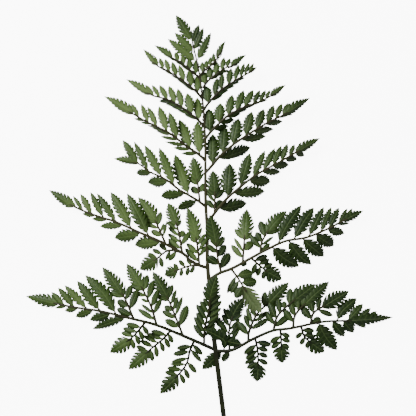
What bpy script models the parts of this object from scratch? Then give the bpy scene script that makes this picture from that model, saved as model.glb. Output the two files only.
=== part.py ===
# Leatherleaf fern frond, cut and laid on a surface with its upper side up.
# Stipe, rachis, ribs and leaflets grew as one piece, so they are one closed solid.
# Lengths are in millimetres, heights above the surface that the frond lies on.
import math
import random

import bmesh
import bpy
from mathutils import Quaternion, Vector

MM = 0.001

# Driving dimensions
SEED = 11
STIPE_LENGTH = 130
STIPE_RADIUS = 1.6
RACHIS_END_RADIUS = 0.4
BLADE_THICKNESS = 0.65
CLEARANCE = 0.6
RIB_HALF_WIDTH = 0.25
RIB_WIDENING = 0.0036
CREST_SHARE = 0.45

# How a leaflet grows from its rib: angle in degrees, width from its length
LEAFLET_ANGLES = {"upper": 42, "lower": 62}
LEAFLET_WIDTH = (1.0, 0.25)
PINNULE_WIDTH = (1.7, 0.21)
LOBED_WIDTH = (2.6, 0.22)
TIP_WIDTH = (2.4, 0.26)
SPRAY_TIP_WIDTH = (2.6, 0.30)
SPRAY_RIB_SHARES = (0.38, 0.6)
ROOM_USED = 0.86
LEAST_TIP_WIDTH = 2.5
LONGEST_RIB_STEP = 8
LEAST_STALK = 0.7
MOST_STALK_SHARE = 0.42
STALK_WIDTH = 0.4
SPRAY_RIB_THICKNESS = 0.9
FOLD_CHANGE = 3
LEAFLET_FOLD = 10
ARCH = 0.05
DROOP = 0.07

# Outlines as (share of the length, share of the width)
LEAFLET_OUTLINE = [(0, 0.74), (0.5, 0.94)]
PINNULE_OUTLINE = [(0, 0.7), (0.36, 1.0), (0.72, 0.66)]
LOBED_OUTLINE = [(0, 0.7), (0.18, 1.0), (0.26, 0.62), (0.46, 0.84), (0.54, 0.5)]
TIP_OUTLINE = [(0.1, 0.6), (0.26, 1.0), (0.34, 0.64), (0.6, 0.62)]

# The stalk from where the lowest leaves sit up to the apex: places, then heights at some of them
RACHIS = [
    (1.5, -14.5), (-0.5, 1.5), (-2.5, 17.5), (-4, 33.5), (-5, 49.5), (-6.5, 65.5), (-7, 81.5),
    (-7, 97.5), (-8, 113.5), (-8.5, 129.5), (-8.5, 145.5), (-8.5, 161.5), (-9, 177.5), (-10, 193.5),
    (-11, 203), (-12.5, 217.5), (-15, 231), (-17.5, 241.5), (-19, 248),
]
RACHIS_HEIGHTS = [
    (-150, 2.3), (-60, 2.1), (0, 1.9), (35, 1.5), (62, 0.98), (112, 0.8), (140, 2.4), (175, 5.5),
    (212, 7.8), (250, 8.0),
]
APEX_BLADE = ((-32, 269), 8.0)

# The space under the frond, which cuts the flat stretch of the rachis that it rests on
SURFACE_SIZE = (0.1, 0.6, 0.01)
SURFACE_PLACE = (0, 0.1, -0.005)

# Simple blades near the apex: foot, tip, width
TOP_BLADES = [
    ((-15.5, 232), (-38.5, 250), 6.4), ((-17.5, 239), (-33, 255), 6.0),
    ((-15, 233), (-4, 255), 5.6), ((-17.5, 241), (-10, 259), 5.2), ((-19, 247), (-13.5, 261.5), 4.8),
]

# Leaves of the first order. The course is the rib's, from the stalk outwards, and the tip ends it.
# Crest and low are the heights of its arch and of its tip, which touches the surface where low is 0.
# Fold is how far each side hangs, in degrees.
# A leaflet is its foot across the frond and its tip, then places that its own rib passes, then its own
# leaflets' tips, then how far it is raised and how far the blade at its end is turned over, in degrees.
PINNAE = {
    "left_1": {
        "course": [(-1.5, 1.5), (-13, 7), (-29, 14.5), (-48, 22.5), (-69, 28), (-93, 33.5), (-113, 36), (-129, 39)],
        "tip": (-153.5, 44), "crest": 12, "low": 0, "fold": (6, 24),
        "upper": [
            (-9.5, (0.5, 62.5), [(-9, 18.5), (-6, 33), (-4, 48)], [(-21, 20.5), (-17.5, 29.5), (-13.5, 38), (-10.5, 43), (6, 38.5), (5.5, 44)], 16),
            (-26.5, (-51, 64), [(-32, 27), (-39, 43)], [(-41, 25.5), (-41.5, 36), (-23, 37), (-27, 44), (-32, 49.5), (-35, 53.5)]),
            (-47, (-72, 70.5), [(-52, 37), (-60, 52)], [(-62.5, 34.5), (-60, 42.5), (-44, 42.5), (-46.5, 49.5), (-50.5, 57), (-55, 61.5)]),
            (-65.5, (-91, 68), [(-73, 44), (-82.5, 57)], [(-79, 41), (-63, 49.5)]),
            (-79, (-104.5, 61.5), [(-89.5, 46.5)]),
            (-92, (-111, 57)),
            (-102.5, (-121, 53.5)),
            (-113, (-126.5, 51.5)),
            (-121, (-132, 48)),
        ],
        "lower": [
            (-17.5, (-45, -34.5), [(-21, 0), (-25.5, -13.5)], [(-35, 5.5), (-36, 1), (-38.5, -6.5), (-40, -12), (-9.5, -6.5), (-12, -12), (-17, -17), (-22.5, -23)]),
            (-36, (-70.5, -15), [(-43, 9.5), (-53, 1)], [(-53.5, 16), (-58.5, 10.5), (-62.5, 4), (-35, 5.5), (-41, 3), (-46.5, -1.5)]),
            (-56, (-85.5, -1.5), [(-63, 16), (-69.5, 9.5)], [(-71, 21.5), (-76, 16), (-52, 18.5), (-55, 13.5), (-61, 7)]),
            (-70.5, (-99.5, 17.5), [(-85, 24)]),
            (-83, (-101, 25.5)),
            (-97, (-112.5, 28)),
            (-109.5, (-121, 33)),
            (-119, (-129, 35)),
        ],
    },
    "left_2": {
        "course": [(-6.5, 67), (-13, 69), (-21, 73.5), (-26.5, 79), (-45, 89), (-61, 96), (-79, 104), (-99, 110.5), (-115, 117.5)],
        "tip": (-133.5, 129.5), "crest": 13, "low": 7, "fold": (8, 34),
        "upper": [
            (-13.5, (-23, 116), [(-14.5, 81.5), (-17.5, 99)], [(-25, 82.5), (-21.5, 92), (-7, 85), (-8.5, 94.5)], 6),
            (-27, (-38.5, 119.5), [(-31, 100)], [(-38.5, 90.5), (-25.5, 97), (-28, 105.5)]),
            (-40, (-62.5, 124), [(-48, 104), (-55, 115)], [(-52, 97), (-41.5, 103)]),
            (-53, (-71, 127), [(-61.5, 109)]),
            (-67, (-84, 128), [(-75, 113.5)]),
            (-79, (-95, 127)),
            (-89, (-100, 128)),
            (-98.5, (-108, 126.5)),
            (-105.5, (-114, 125)),
            (-111, (-119, 125)),
        ],
        "lower": [
            (-13.5, (-41.5, 61), [(-23, 68)], [(-25.5, 71), (-32, 67)]),
            (-28, (-61.5, 65.5), [(-38.5, 81), (-49, 73.5)], [(-51, 82.5), (-53.5, 78.5), (-40, 73.5), (-45, 69.5)]),
            (-43, (-65.5, 85), [(-54.5, 87)]),
            (-59, (-81.5, 91)),
            (-73, (-93, 100.5)),
            (-86.5, (-99, 105.5)),
        ],
    },
    "left_3": {
        "course": [(-8, 116), (-13, 120), (-21, 125), (-29, 129.5), (-41, 138.5), (-53, 144), (-63, 151)],
        "tip": (-81.5, 154.5), "crest": 11, "low": 9, "fold": (8, 52),
        "upper": [
            (-13, (-18.5, 156.5), [(-15, 137.5)], [(-20, 132), (-8.5, 134.5)], 4),
            (-21.5, (-33, 158.5), [(-28, 143)]),
            (-33, (-45.5, 163.5)),
            (-43, (-57, 165.5)),
            (-53.5, (-65.5, 168.5)),
            (-61.5, (-74.5, 169.5)),
        ],
        "lower": [
            (-14.5, (-31, 114.5)),
            (-24, (-44.5, 124.5)),
            (-37.5, (-55, 135.5)),
            (-51, (-64, 143)),
        ],
    },
    "left_4": {
        "course": [(-9, 153.5), (-13, 157.5), (-25, 165.5), (-37, 174.5), (-53, 182.5), (-67, 190.5)],
        "tip": (-89, 204), "crest": 12, "low": 10, "fold": (8, 62),
        "upper": [
            (-13, (-15, 185)),
            (-20, (-29.5, 186.5)),
            (-30.5, (-37.5, 192)),
            (-38.5, (-45.5, 196.5)),
            (-46.5, (-54.5, 196)),
            (-53.5, (-59.5, 198)),
            (-61, (-67.5, 198.5)),
        ],
        "lower": [
            (-14.5, (-28, 159)),
            (-24, (-41, 168.5)),
            (-35, (-48, 177)),
            (-45.5, (-55, 181)),
            (-56, (-65.5, 186.5)),
        ],
    },
    "left_5": {
        "course": [(-9.5, 180), (-14.5, 185.5), (-26.5, 194.5), (-38.5, 201), (-53, 205.5)],
        "tip": (-71.5, 217.5), "crest": 13, "low": 10, "fold": (8, 70),
        "upper": [
            (-13.5, (-15, 204)),
            (-19, (-23, 207)),
            (-26.5, (-30.5, 210.5)),
            (-32, (-37.5, 212.5)),
            (-38, (-45, 213)),
            (-44, (-51, 213)),
            (-49, (-55.5, 213)),
        ],
        "lower": [
            (-15, (-25.5, 190.5)),
            (-25.5, (-36, 196.5)),
            (-36, (-45.5, 200.5)),
        ],
    },
    "left_6": {
        "course": [(-11, 202.5), (-16, 208), (-26.5, 216), (-37, 223), (-48, 229)],
        "tip": (-58, 241.5), "crest": 13, "low": 10, "fold": (8, 72),
        "upper": [
            (-14.5, (-15, 221.5)),
            (-19.5, (-21.5, 225.5)),
            (-25, (-29.5, 229)),
            (-31, (-35, 231.5)),
            (-36.5, (-40.5, 233.5)),
            (-41.5, (-45, 234.5)),
        ],
        "lower": [
            (-16, (-26.5, 214.5)),
            (-26.5, (-36, 221)),
        ],
    },
    "left_7": {
        "course": [(-13.5, 219.5), (-18.5, 223), (-26.5, 229.5), (-35, 234.5)],
        "tip": (-49, 244.5), "crest": 12, "low": 10, "fold": (8, 70),
        "upper": [
            (-16, (-16, 233.5)),
            (-20.5, (-21.5, 234.5)),
            (-25, (-27, 237)),
            (-29.5, (-32.5, 239)),
        ],
        "lower": [
            (-19, (-28, 229)),
        ],
    },
    "right_7": {
        "course": [(-13, 221), (-8, 225.5), (-2.5, 229.5), (2, 236)],
        "tip": (7.5, 248), "crest": 12, "low": 10, "fold": (8, 72),
        "upper": [
            (-11, (-11, 232)),
            (-8, (-7.5, 233)),
            (-5, (-4.5, 235.5)),
        ],
        "lower": [
            (-8, (0, 228)),
        ],
    },
    "right_6": {
        "course": [(-10.5, 211), (-6.5, 216), (0, 221), (8, 226.5), (13, 228)],
        "tip": (24, 237), "crest": 13, "low": 10, "fold": (8, 74),
        "upper": [
            (-9, (-10.5, 225)),
            (-5, (-5, 228)),
            (-1, (1, 231.5)),
            (4, (6.5, 235)),
            (8, (11, 234)),
        ],
        "lower": [
            (-5, (2.5, 221)),
            (2.5, (10.5, 225)),
        ],
    },
    "right_5": {
        "course": [(-9.5, 193.5), (-7, 197.5), (3, 208), (11, 213.5), (19, 218.5), (27, 223)],
        "tip": (32.5, 227), "crest": 13, "low": 10, "fold": (8, 74),
        "upper": [
            (-6.5, (-8, 213)),
            (-1.5, (1, 219)),
            (3.5, (5, 223)),
            (9.5, (12, 226.5)),
            (14.5, (18, 229)),
            (19, (22.5, 230.5)),
            (22.5, (26.5, 231)),
        ],
        "lower": [
            (-4, (5.5, 206)),
            (5, (15, 213)),
            (14.5, (23, 219)),
        ],
    },
    "right_4": {
        "course": [(-8.5, 170.5), (-5, 175), (1.5, 181.5), (9, 188), (21, 194.5), (33.5, 199), (44, 204.5)],
        "tip": (55.5, 213), "crest": 13, "low": 10, "fold": (8, 68),
        "upper": [
            (-5, (-6, 195)),
            (2, (3.5, 199)),
            (9, (13, 205.5)),
            (15.5, (22, 209)),
            (22, (29.5, 209)),
            (29, (35, 209)),
            (35, (41, 209)),
        ],
        "lower": [
            (-2.5, (10.5, 181)),
            (8, (20, 191)),
            (19, (30.5, 197)),
        ],
    },
    "right_3": {
        "course": [(-8, 144), (-3, 149.5), (4, 157.5), (13, 165), (27, 174.5), (43, 184), (55, 190)],
        "tip": (75, 203), "crest": 12, "low": 9, "fold": (8, 55),
        "upper": [
            (-3, (-2.5, 175)),
            (5, (7, 181)),
            (13, (18, 187)),
            (23, (28.5, 192)),
            (31.5, (38, 194)),
            (40, (46, 197)),
            (47, (52.5, 198.5)),
            (52.5, (57.5, 199)),
        ],
        "lower": [
            (1, (28, 164)),
            (19, (40.5, 173)),
            (29, (46.5, 178.5)),
            (38.5, (53.5, 184.5)),
            (48, (59, 189.5)),
        ],
    },
    "right_2b": {
        "course": [(-6.5, 104), (-1.5, 110.5), (7, 121), (17.5, 130.5), (32, 141.5), (49, 151), (65.5, 160.5)],
        "tip": (83, 171), "crest": 12, "low": 8, "fold": (8, 45),
        "upper": [
            (-1, (-2.5, 145.5), [(-1, 125.5)], [(-7.5, 121.5), (5.5, 121)], 4),
            (9, (11, 151)),
            (19, (27, 159)),
            (29, (39, 161)),
            (37, (47, 163)),
            (45, (52, 165)),
            (51.5, (57, 166.5)),
            (58.5, (63.5, 166)),
        ],
        "lower": [
            (1.5, (25, 119)),
            (13, (39.5, 128.5)),
            (25.5, (44, 136)),
            (36, (52, 144)),
            (44, (58.5, 149.5)),
            (54.5, (65, 154)),
            (63, (71, 157)),
        ],
    },
    "right_2": {
        "course": [(-5, 57.5), (3, 63), (13, 67), (27, 75), (41.5, 83), (55, 89), (72, 92), (89.5, 99), (103, 106)],
        "tip": (118, 113), "crest": 13, "low": 6, "fold": (8, 30),
        "upper": [
            (4, (-5, 110), [(1.5, 75), (-0.5, 89.5)], [(-7, 76), (-7, 85.5), (11, 79), (8, 85.5), (7, 92)], 10),
            (21, (25, 114.5), [(23, 93)], [(29.5, 88), (29, 95)]),
            (35, (56.5, 113), [(37, 89.5), (45, 101)], [(32, 96), (43, 87)]),
            (49, (68, 117.5), [(56, 101)]),
            (61.5, (78, 115.5), [(69.5, 104)]),
            (73.5, (86, 116)),
            (83, (92, 116)),
            (89.5, (98, 115.5)),
            (97.5, (105, 115)),
            (103, (109, 115)),
        ],
        "lower": [
            (12, (36, 32.5), [(16, 61.5), (19, 57), (27, 44)], [(9, 47), (29.5, 63)], 14, 125),
            (28, (53, 57.5), [(34.5, 69.5), (41.5, 64)], [(39.5, 78.5), (41.5, 74.5), (45, 71), (29, 63), (33.5, 60), (37.5, 57)]),
            (44, (67, 68), [(55, 75)]),
            (57, (77, 69.5), [(67, 77.5)]),
            (68, (87, 76)),
            (78.5, (95, 84.5)),
            (88, (103, 94.5)),
            (96, (107, 103)),
        ],
    },
    "right_1": {
        "course": [(0, 0), (13, 1.5), (29.5, 11), (45, 18), (59, 20), (85, 25), (107, 25.5)],
        "tip": (143, 27), "crest": 13, "low": 0, "fold": (6, 24),
        "upper": [
            (6, (-9.5, 18.5), [(5.5, 8), (-1, 14.5)], [], 20),
            (11, (15, 46.5), [(11, 15), (13.5, 27)], [(-4, 31), (23, 42.5), (20.5, 22.5), (22, 30.5)]),
            (19, (10, 12), [], [], 12),
            (27, (58.5, 55.5), [(29, 19), (35, 33.5), (45, 43)], [(39.5, 49.5), (43, 27)]),
            (47, (79.5, 54.5), [(50.5, 29.5), (60, 40)], [(60, 52), (60, 30.5)]),
            (61, (90.5, 56.5), [(67, 32), (77, 43)], [(73, 31), (69.5, 26.5)]),
            (75, (106, 49), [(77.5, 32), (88, 38.5)], [(83, 44), (93, 29.5)]),
            (96, (112.5, 43), [(101, 33.5)]),
            (104, (116.5, 39)),
        ],
        "lower": [
            (5, (-11, -15), [(0, -4.5)]),
            (31, (33, -25), [(33.5, 0), (34, -13)], [(21, -5), (23, -11), (44, 9), (41.5, 1.5), (40, -6.5)]),
            (51, (53.5, -10), [(52, 9), (52.5, 1.5)], [(42.5, 13.5), (42.5, 7), (45, 1), (59, 13), (59, 6.5)]),
            (67, (87.5, -1), [(71, 12), (78.5, 5.5)], [(63, 13), (67, 8), (78.5, 19), (79, 13.5)]),
            (81, (97.5, 0.5), [(87, 13.5)]),
            (92, (103, 12)),
            (101, (110.5, 15)),
        ],
    },
}


def smooth(points, steps):
    """Points of a Catmull-Rom curve through the given ones."""
    ends = [2 * points[0] - points[1]] + points + [2 * points[-1] - points[-2]]
    curve = []
    for a, b, c, d in zip(ends, ends[1:], ends[2:], ends[3:]):
        for step in range(steps):
            t = step / steps
            curve.append(0.5 * (2 * b + (c - a) * t + (2 * a - 5 * b + 4 * c - d) * t ** 2
                                + (3 * b - a - 3 * c + d) * t ** 3))
    return curve + [points[-1]]


class Course:
    """A smooth way through some points, read by the share of its length."""

    def __init__(self, points):
        self.points = smooth(points, 8)
        self.ways = [0.0]
        for a, b in zip(self.points, self.points[1:]):
            self.ways.append(self.ways[-1] + (b - a).length)
        self.length = self.ways[-1]

    def place(self, share):
        way = max(0.0, min(share, 1.0)) * self.length
        last = len(self.points) - 2
        i = min(sum(1 for w in self.ways[1:] if w < way), last)
        part = (way - self.ways[i]) / max(self.ways[i + 1] - self.ways[i], 1e-9)
        return self.points[i].lerp(self.points[i + 1], part)

    def heading(self, share):
        return (self.place(share + 0.02) - self.place(share - 0.02)).normalized()

    def share_at_x(self, x):
        """Where the course passes a place across the frond."""
        tries = [k / 200 for k in range(201)]
        return min(tries, key=lambda share: abs(self.place(share).x - x))

    def share_of_foot(self, tip, angle):
        """Where a leaflet with this tip leaves the course at the given angle."""
        def miss(share):
            way = tip - self.place(share)
            along = self.heading(share)
            return abs(math.degrees(Vector((way.x, way.y)).angle(Vector((along.x, along.y)), 0)) - angle)
        return min([k / 100 for k in range(2, 93)], key=miss)


def height_on(heights, y):
    """The height that a table of (y, height) gives, eased between its rows."""
    for (y0, z0), (y1, z1) in zip(heights, heights[1:]):
        if y <= y1:
            t = max(0.0, (y - y0) / (y1 - y0))
            return z0 + (z1 - z0) * t * t * (3 - 2 * t)
    return heights[-1][1]


def rachis_radius(y):
    taper = max(0.0, min(1.0, y / RACHIS[-1][1]))
    return STIPE_RADIUS + (RACHIS_END_RADIUS - STIPE_RADIUS) * taper


def on_rachis(x, y):
    return Vector((x, y, height_on(RACHIS_HEIGHTS, y)))


def arched(plan, root, crest, low):
    """Points of a leaf's rib, raised from its root to its crest and down to its tip."""
    flat = [Vector((x, y, 0)) for x, y in plan]
    ways = [0.0]
    for a, b in zip(flat, flat[1:]):
        ways.append(ways[-1] + (b - a).length)
    raised = []
    for point, way in zip(flat, ways):
        t = way / ways[-1]
        if t < CREST_SHARE:
            height = root + (crest - root) * math.sin(math.pi / 2 * t / CREST_SHARE)
        else:
            height = low + (crest - low) * math.cos(math.pi / 2 * (t - CREST_SHARE) / (1 - CREST_SHARE))
        raised.append(point + Vector((0, 0, height)))
    return raised


def in_plane(foot, normal, places):
    """Places across the frond, set at the height of the plane through the foot, and drooping outwards."""
    found = []
    for x, y in places:
        way = Vector((x - foot.x, y - foot.y, 0))
        height = foot.z - (normal.x * way.x + normal.y * way.y) / normal.z
        found.append(Vector((x, y, height - DROOP * way.length)))
    return found


class Sheet:
    """One leaf as triangles whose corners each have a height above and below the middle of the blade."""

    def __init__(self, name):
        self.name = name
        self.upper = []
        self.lower = []
        self.faces = []

    def point(self, place, normal, thickness, clearance=CLEARANCE):
        """A corner, kept clear of the surface that the frond lies on."""
        middle = Vector((place.x, place.y, max(place.z, thickness / 2 + clearance)))
        self.upper.append(middle + normal * thickness / 2)
        self.lower.append(middle - normal * thickness / 2)
        return len(self.upper) - 1

    def edge(self, course, share, normal, half_width, thickness):
        """A corner to the left and one to the right of a course."""
        middle = course.place(share)
        left = normal.cross(course.heading(share)).normalized() * half_width
        return self.point(middle + left, normal, thickness), self.point(middle - left, normal, thickness)

    def apart(self, a, b):
        return (self.upper[a] - self.upper[b]).length

    def strip(self, lefts, rights):
        """Triangles between two rows of (share, point)."""
        i = j = 0
        while i < len(lefts) - 1 or j < len(rights) - 1:
            if j == len(rights) - 1 or i == len(lefts) - 1:
                go_left = i < len(lefts) - 1
            elif lefts[i + 1][0] != rights[j + 1][0]:
                go_left = lefts[i + 1][0] < rights[j + 1][0]
            else:
                go_left = self.apart(lefts[i + 1][1], rights[j][1]) < self.apart(lefts[i][1], rights[j + 1][1])
            if go_left:
                self.faces.append((lefts[i][1], rights[j][1], lefts[i + 1][1]))
                i += 1
            else:
                self.faces.append((lefts[i][1], rights[j][1], rights[j + 1][1]))
                j += 1

    def blade(self, base, course, start, normal, width, outline, turn=0, clearance=CLEARANCE):
        """A blade from a base edge along the rest of a course, turned over by an angle on its way."""
        lefts = [(0, base[0])]
        rights = [(0, base[1])]
        rise = normal * ARCH * course.length * (1 - start)
        for t, share_of_width in outline:
            share = start + (1 - start) * t
            middle = course.place(share) + rise * 4 * t * (1 - t)
            heading = course.heading(share)
            face = normal.copy()
            face.rotate(Quaternion(heading, math.radians(turn) * min(1, t / 0.26)))
            left = face.cross(heading).normalized() * width / 2 * share_of_width
            lefts.append((t, self.point(middle + left, face, BLADE_THICKNESS)))
            rights.append((t, self.point(middle - left, face, BLADE_THICKNESS)))
        self.strip(lefts, rights)
        tip = self.point(course.place(1), face, BLADE_THICKNESS, clearance)
        self.faces.append((lefts[-1][1], rights[-1][1], tip))

    def rib(self, base, course, end, normal, half_widths, thicknesses, feet):
        """A rib from a base edge, with the edges where its leaflets sit, and its end edge."""
        def corner(share, side):
            part = share / end
            half = half_widths[0] + (half_widths[1] - half_widths[0]) * part
            thickness = thicknesses[0] + (thicknesses[1] - thicknesses[0]) * part
            along = normal.cross(course.heading(share)).normalized() * half
            return self.point(course.place(share) + along * side, normal, thickness)

        rows = ([(0, base[0])], [(0, base[1])])
        seats = []
        for side, start, stop, leaflet in feet:
            pair = (corner(start, side), corner(stop, side))
            rows[0 if side > 0 else 1].extend([(start, pair[0]), (stop, pair[1])])
            seats.append((side, (pair[0], pair[1]) if side > 0 else (pair[1], pair[0]), leaflet))
        for row, side in zip(rows, (1, -1)):
            taken = [share for share, _ in row] + [end]
            for a, b in zip(taken, taken[1:]):
                count = int((b - a) * course.length / LONGEST_RIB_STEP)
                for k in range(count):
                    share = a + (b - a) * (k + 1) / (count + 1)
                    row.append((share, corner(share, side)))
            row.sort()
        last = self.edge(course, end, normal, half_widths[1], thicknesses[1])
        rows[0].append((end, last[0]))
        rows[1].append((end, last[1]))
        self.strip(*rows)
        return seats, last

    def solid(self):
        """The sheet closed round its rim, as an object."""
        mesh = bmesh.new()
        above = [mesh.verts.new(place * MM) for place in self.upper]
        below = [mesh.verts.new(place * MM) for place in self.lower]
        sides = {(a, b) for face in self.faces for a, b in zip(face, face[1:] + face[:1])}
        for a, b, c in self.faces:
            mesh.faces.new((above[a], above[b], above[c]))
            mesh.faces.new((below[c], below[b], below[a]))
        for a, b in sides:
            if (b, a) not in sides:
                mesh.faces.new((above[b], above[a], below[a]))
                mesh.faces.new((above[b], below[a], below[b]))
        data = bpy.data.meshes.new(self.name)
        mesh.to_mesh(data)
        mesh.free()
        return bpy.data.objects.new(self.name, data)


def spaced(feet, first, last):
    """Feet on each side of a rib put in order, so that none overlaps the next."""
    placed = []
    for side in (1, -1):
        row = sorted((foot for foot in feet if foot[0] == side), key=lambda foot: foot[1] + foot[2])
        low = first
        for _, start, stop, leaflet in row:
            width = stop - start
            start = max(start, low)
            placed.append((side, start, start + width, leaflet))
            low = start + width + 0.004
        over = low - last
        if row and over > 0:
            squeeze = (last - first) / (low - first)
            count = len(row)
            placed[-count:] = [(s, first + (a - first) * squeeze, first + (b - first) * squeeze, leaflet)
                               for s, a, b, leaflet in placed[-count:]]
    return sorted(placed, key=lambda foot: foot[1])


def side_of(course, share, tip):
    along = course.heading(share)
    way = tip - course.place(share)
    return 1 if along.x * way.y - along.y * way.x > 0 else -1


def hung(normal, heading, side, fold):
    """The plane of a leaflet on one side of a rib, hanging from the rib's own plane by an angle."""
    outward = normal.cross(heading).normalized() * side
    angle = math.radians(fold)
    return (outward * math.sin(angle) + normal * math.cos(angle)).normalized()


def rooms(courses):
    """For each course, the nearest that its middle comes to one of the others."""
    found = []
    for k, course in enumerate(courses):
        others = courses[max(0, k - 1):k] + courses[k + 1:k + 2]
        gaps = [(course.place(0.5) - other.place(step / 10)).length
                for other in others for step in range(11)]
        found.append(min(gaps, default=100))
    return found


def room_for_tip(rest, way, width):
    """The width that the blade at a rib's end may have beside a leaflet of this width."""
    gap = min((rest.place(0.26) - way.place(step / 10)).length for step in range(11))
    return max(LEAST_TIP_WIDTH, 1.9 * gap - width)


def neck(course, heading, rib_half, width):
    """The share of a leaflet's length that is its stalk, so that its blade stays clear of its rib."""
    angle = course.heading(0.1).angle(heading)
    angle = max(0.35, min(angle, math.pi - angle))
    way = (rib_half + LEAST_STALK + width * (0.06 + 0.36 * math.cos(angle))) / math.sin(angle)
    return min(MOST_STALK_SHARE, way / course.length)


def outline_for(length, lobed):
    if lobed:
        return LOBED_OUTLINE
    return PINNULE_OUTLINE if length > 17 else LEAFLET_OUTLINE


def grow_spray(sheet, seat, course, normal, tips, angle, turn, draw):
    """A leaflet with leaflets of its own: a rib, and a lobed blade at its end."""
    half = STALK_WIDTH / course.length
    feet = []
    for place in tips:
        target = Vector((place[0], place[1], course.place(0).z))
        share = course.share_of_foot(target, angle)
        feet.append((side_of(course, share, target), share - half, share + half, place))
    end = max(foot[2] for foot in feet) + 0.04
    end = max(SPRAY_RIB_SHARES[0], min(end, SPRAY_RIB_SHARES[1]))
    feet = spaced(feet, 0.07, end - 0.02)
    rib_half = STALK_WIDTH * 0.9
    thicknesses = (SPRAY_RIB_THICKNESS, BLADE_THICKNESS)
    seats, last = sheet.rib(seat, course, end, normal, (rib_half, rib_half), thicknesses, feet)
    leaflets = {1: [], -1: []}
    for (side, own, place), (_, start, stop, _) in zip(seats, feet):
        share = (start + stop) / 2
        foot = course.place(share)
        heading = course.heading(share)
        plane = hung(normal, heading, side, LEAFLET_FOLD + draw.uniform(-FOLD_CHANGE, FOLD_CHANGE))
        leaflets[side].append((own, heading, plane, Course([foot, in_plane(foot, plane, [place])[0]])))
    rest = rest_of(course, end)
    width = SPRAY_TIP_WIDTH[0] + SPRAY_TIP_WIDTH[1] * rest.length
    for row in leaflets.values():
        for (own, heading, plane, way), room in zip(row, rooms([leaflet[3] for leaflet in row] + [rest])):
            leaflet_width = min(LEAFLET_WIDTH[0] + LEAFLET_WIDTH[1] * way.length, ROOM_USED * room)
            width = min(width, room_for_tip(rest, way, leaflet_width))
            stalk = neck(way, heading, rib_half, leaflet_width)
            sheet.blade(own, way, 0, plane, leaflet_width, with_stalk(LEAFLET_OUTLINE, stalk))
    sheet.blade(last, course, end, normal, width, TIP_OUTLINE, turn)


def rest_of(course, start):
    """What is left of a course after a share of it."""
    return Course([course.place(start + (1 - start) * k / 4) for k in range(5)])


def with_stalk(outline, stalk):
    return [(stalk + (1 - stalk) * share, width) for share, width in outline]


def grow_pinna(name, leaf, draw):
    plan = leaf["course"] + [leaf["tip"]]
    root = on_rachis(*plan[0]).z
    course = Course(arched(plan, root, leaf["crest"], leaf["low"]))
    end = course.share_at_x(leaf["course"][-1][0])
    half = RIB_HALF_WIDTH + RIB_WIDENING * course.length
    up = Vector((0, 0, 1))
    feet = []
    for key, fold in zip(("upper", "lower"), leaf["fold"]):
        row = leaf[key]
        for k, leaflet in enumerate(row):
            share = course.share_at_x(leaflet[0])
            after = course.share_at_x(row[k + 1][0]) if k + 1 < len(row) else end
            adnate = 0.3 * (after - share) * (k / len(row)) ** 2
            stalk = 0.6 / course.length
            target = Vector((leaflet[1][0], leaflet[1][1], 0))
            side = side_of(course, share, target)
            feet.append((side, share - stalk, share + stalk + adnate, (leaflet, fold, LEAFLET_ANGLES[key])))
    feet = spaced(feet, 0.02, end - 0.01)
    sheet = Sheet(name)
    base = sheet.edge(course, 0, up, half, 2 * half)
    seats, last = sheet.rib(base, course, end, up, (half, half * 0.5), (2 * half, BLADE_THICKNESS), feet)
    pinnules = {1: [], -1: []}
    for (side, own, (leaflet, fold, angle)), (_, start, stop, _) in zip(seats, feet):
        share = (start + stop) / 2
        foot = course.place(share)
        heading = course.heading(share)
        _, tip, via, tips, lift, turn = leaflet + ([], [], None, 0)[len(leaflet) - 2:]
        hang = fold + draw.uniform(-FOLD_CHANGE, FOLD_CHANGE) if lift is None else -lift
        plane = hung(up, heading, side, hang)
        way = Course([foot] + in_plane(foot, plane, via + [tip]))
        pinnules[side].append((own, share, heading, plane, way, via, tips, angle, turn))
    rest = rest_of(course, end)
    tip_width = TIP_WIDTH[0] + TIP_WIDTH[1] * rest.length
    for row in pinnules.values():
        for pinnule, room in zip(row, rooms([pinnule[4] for pinnule in row] + [rest])):
            own, share, heading, plane, way, via, tips, angle, turn = pinnule
            if tips:
                grow_spray(sheet, own, way, plane, tips, angle, turn, draw)
                continue
            rule = LOBED_WIDTH if via else PINNULE_WIDTH
            width = min(rule[0] + rule[1] * way.length, ROOM_USED * room)
            tip_width = min(tip_width, room_for_tip(rest, way, width))
            stalk = neck(way, heading, half * (1 - share / 2), width)
            sheet.blade(own, way, 0, plane, width, with_stalk(outline_for(way.length, via), stalk))
    clearance = min(leaf["low"], CLEARANCE)
    sheet.blade(last, course, end, up, tip_width, TIP_OUTLINE, clearance=clearance)
    return sheet.solid()


def grow_top_blade(name, foot, tip, width):
    base = on_rachis(*foot)
    course = Course([base, base + Vector((tip[0] - foot[0], tip[1] - foot[1], 0.5))])
    up = Vector((0, 0, 1))
    sheet = Sheet(name)
    sheet.blade(sheet.edge(course, 0, up, 0.4, BLADE_THICKNESS), course, 0, up, width,
                with_stalk(PINNULE_OUTLINE, 0.12))
    return sheet.solid()


def rachis_points():
    """Places along the stipe, which runs straight on below the lowest leaves, and the rachis."""
    (x0, y0), (x1, y1) = RACHIS[:2]
    low = x0 + (x0 - x1) / (y0 - y1) * (-STIPE_LENGTH - y0)
    plan = [(low, -STIPE_LENGTH), ((low + x0) / 2, (y0 - STIPE_LENGTH) / 2)] + RACHIS
    return [on_rachis(x, y) for x, y in plan]


def mesh_of(thing, name):
    """The evaluated shape of an object as a plain mesh object in its place."""
    graph = bpy.context.evaluated_depsgraph_get()
    data = bpy.data.meshes.new_from_object(thing.evaluated_get(graph))
    data.name = name
    solid = bpy.data.objects.new(name, data)
    bpy.context.scene.collection.objects.link(solid)
    bpy.data.objects.remove(thing)
    return solid


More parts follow.
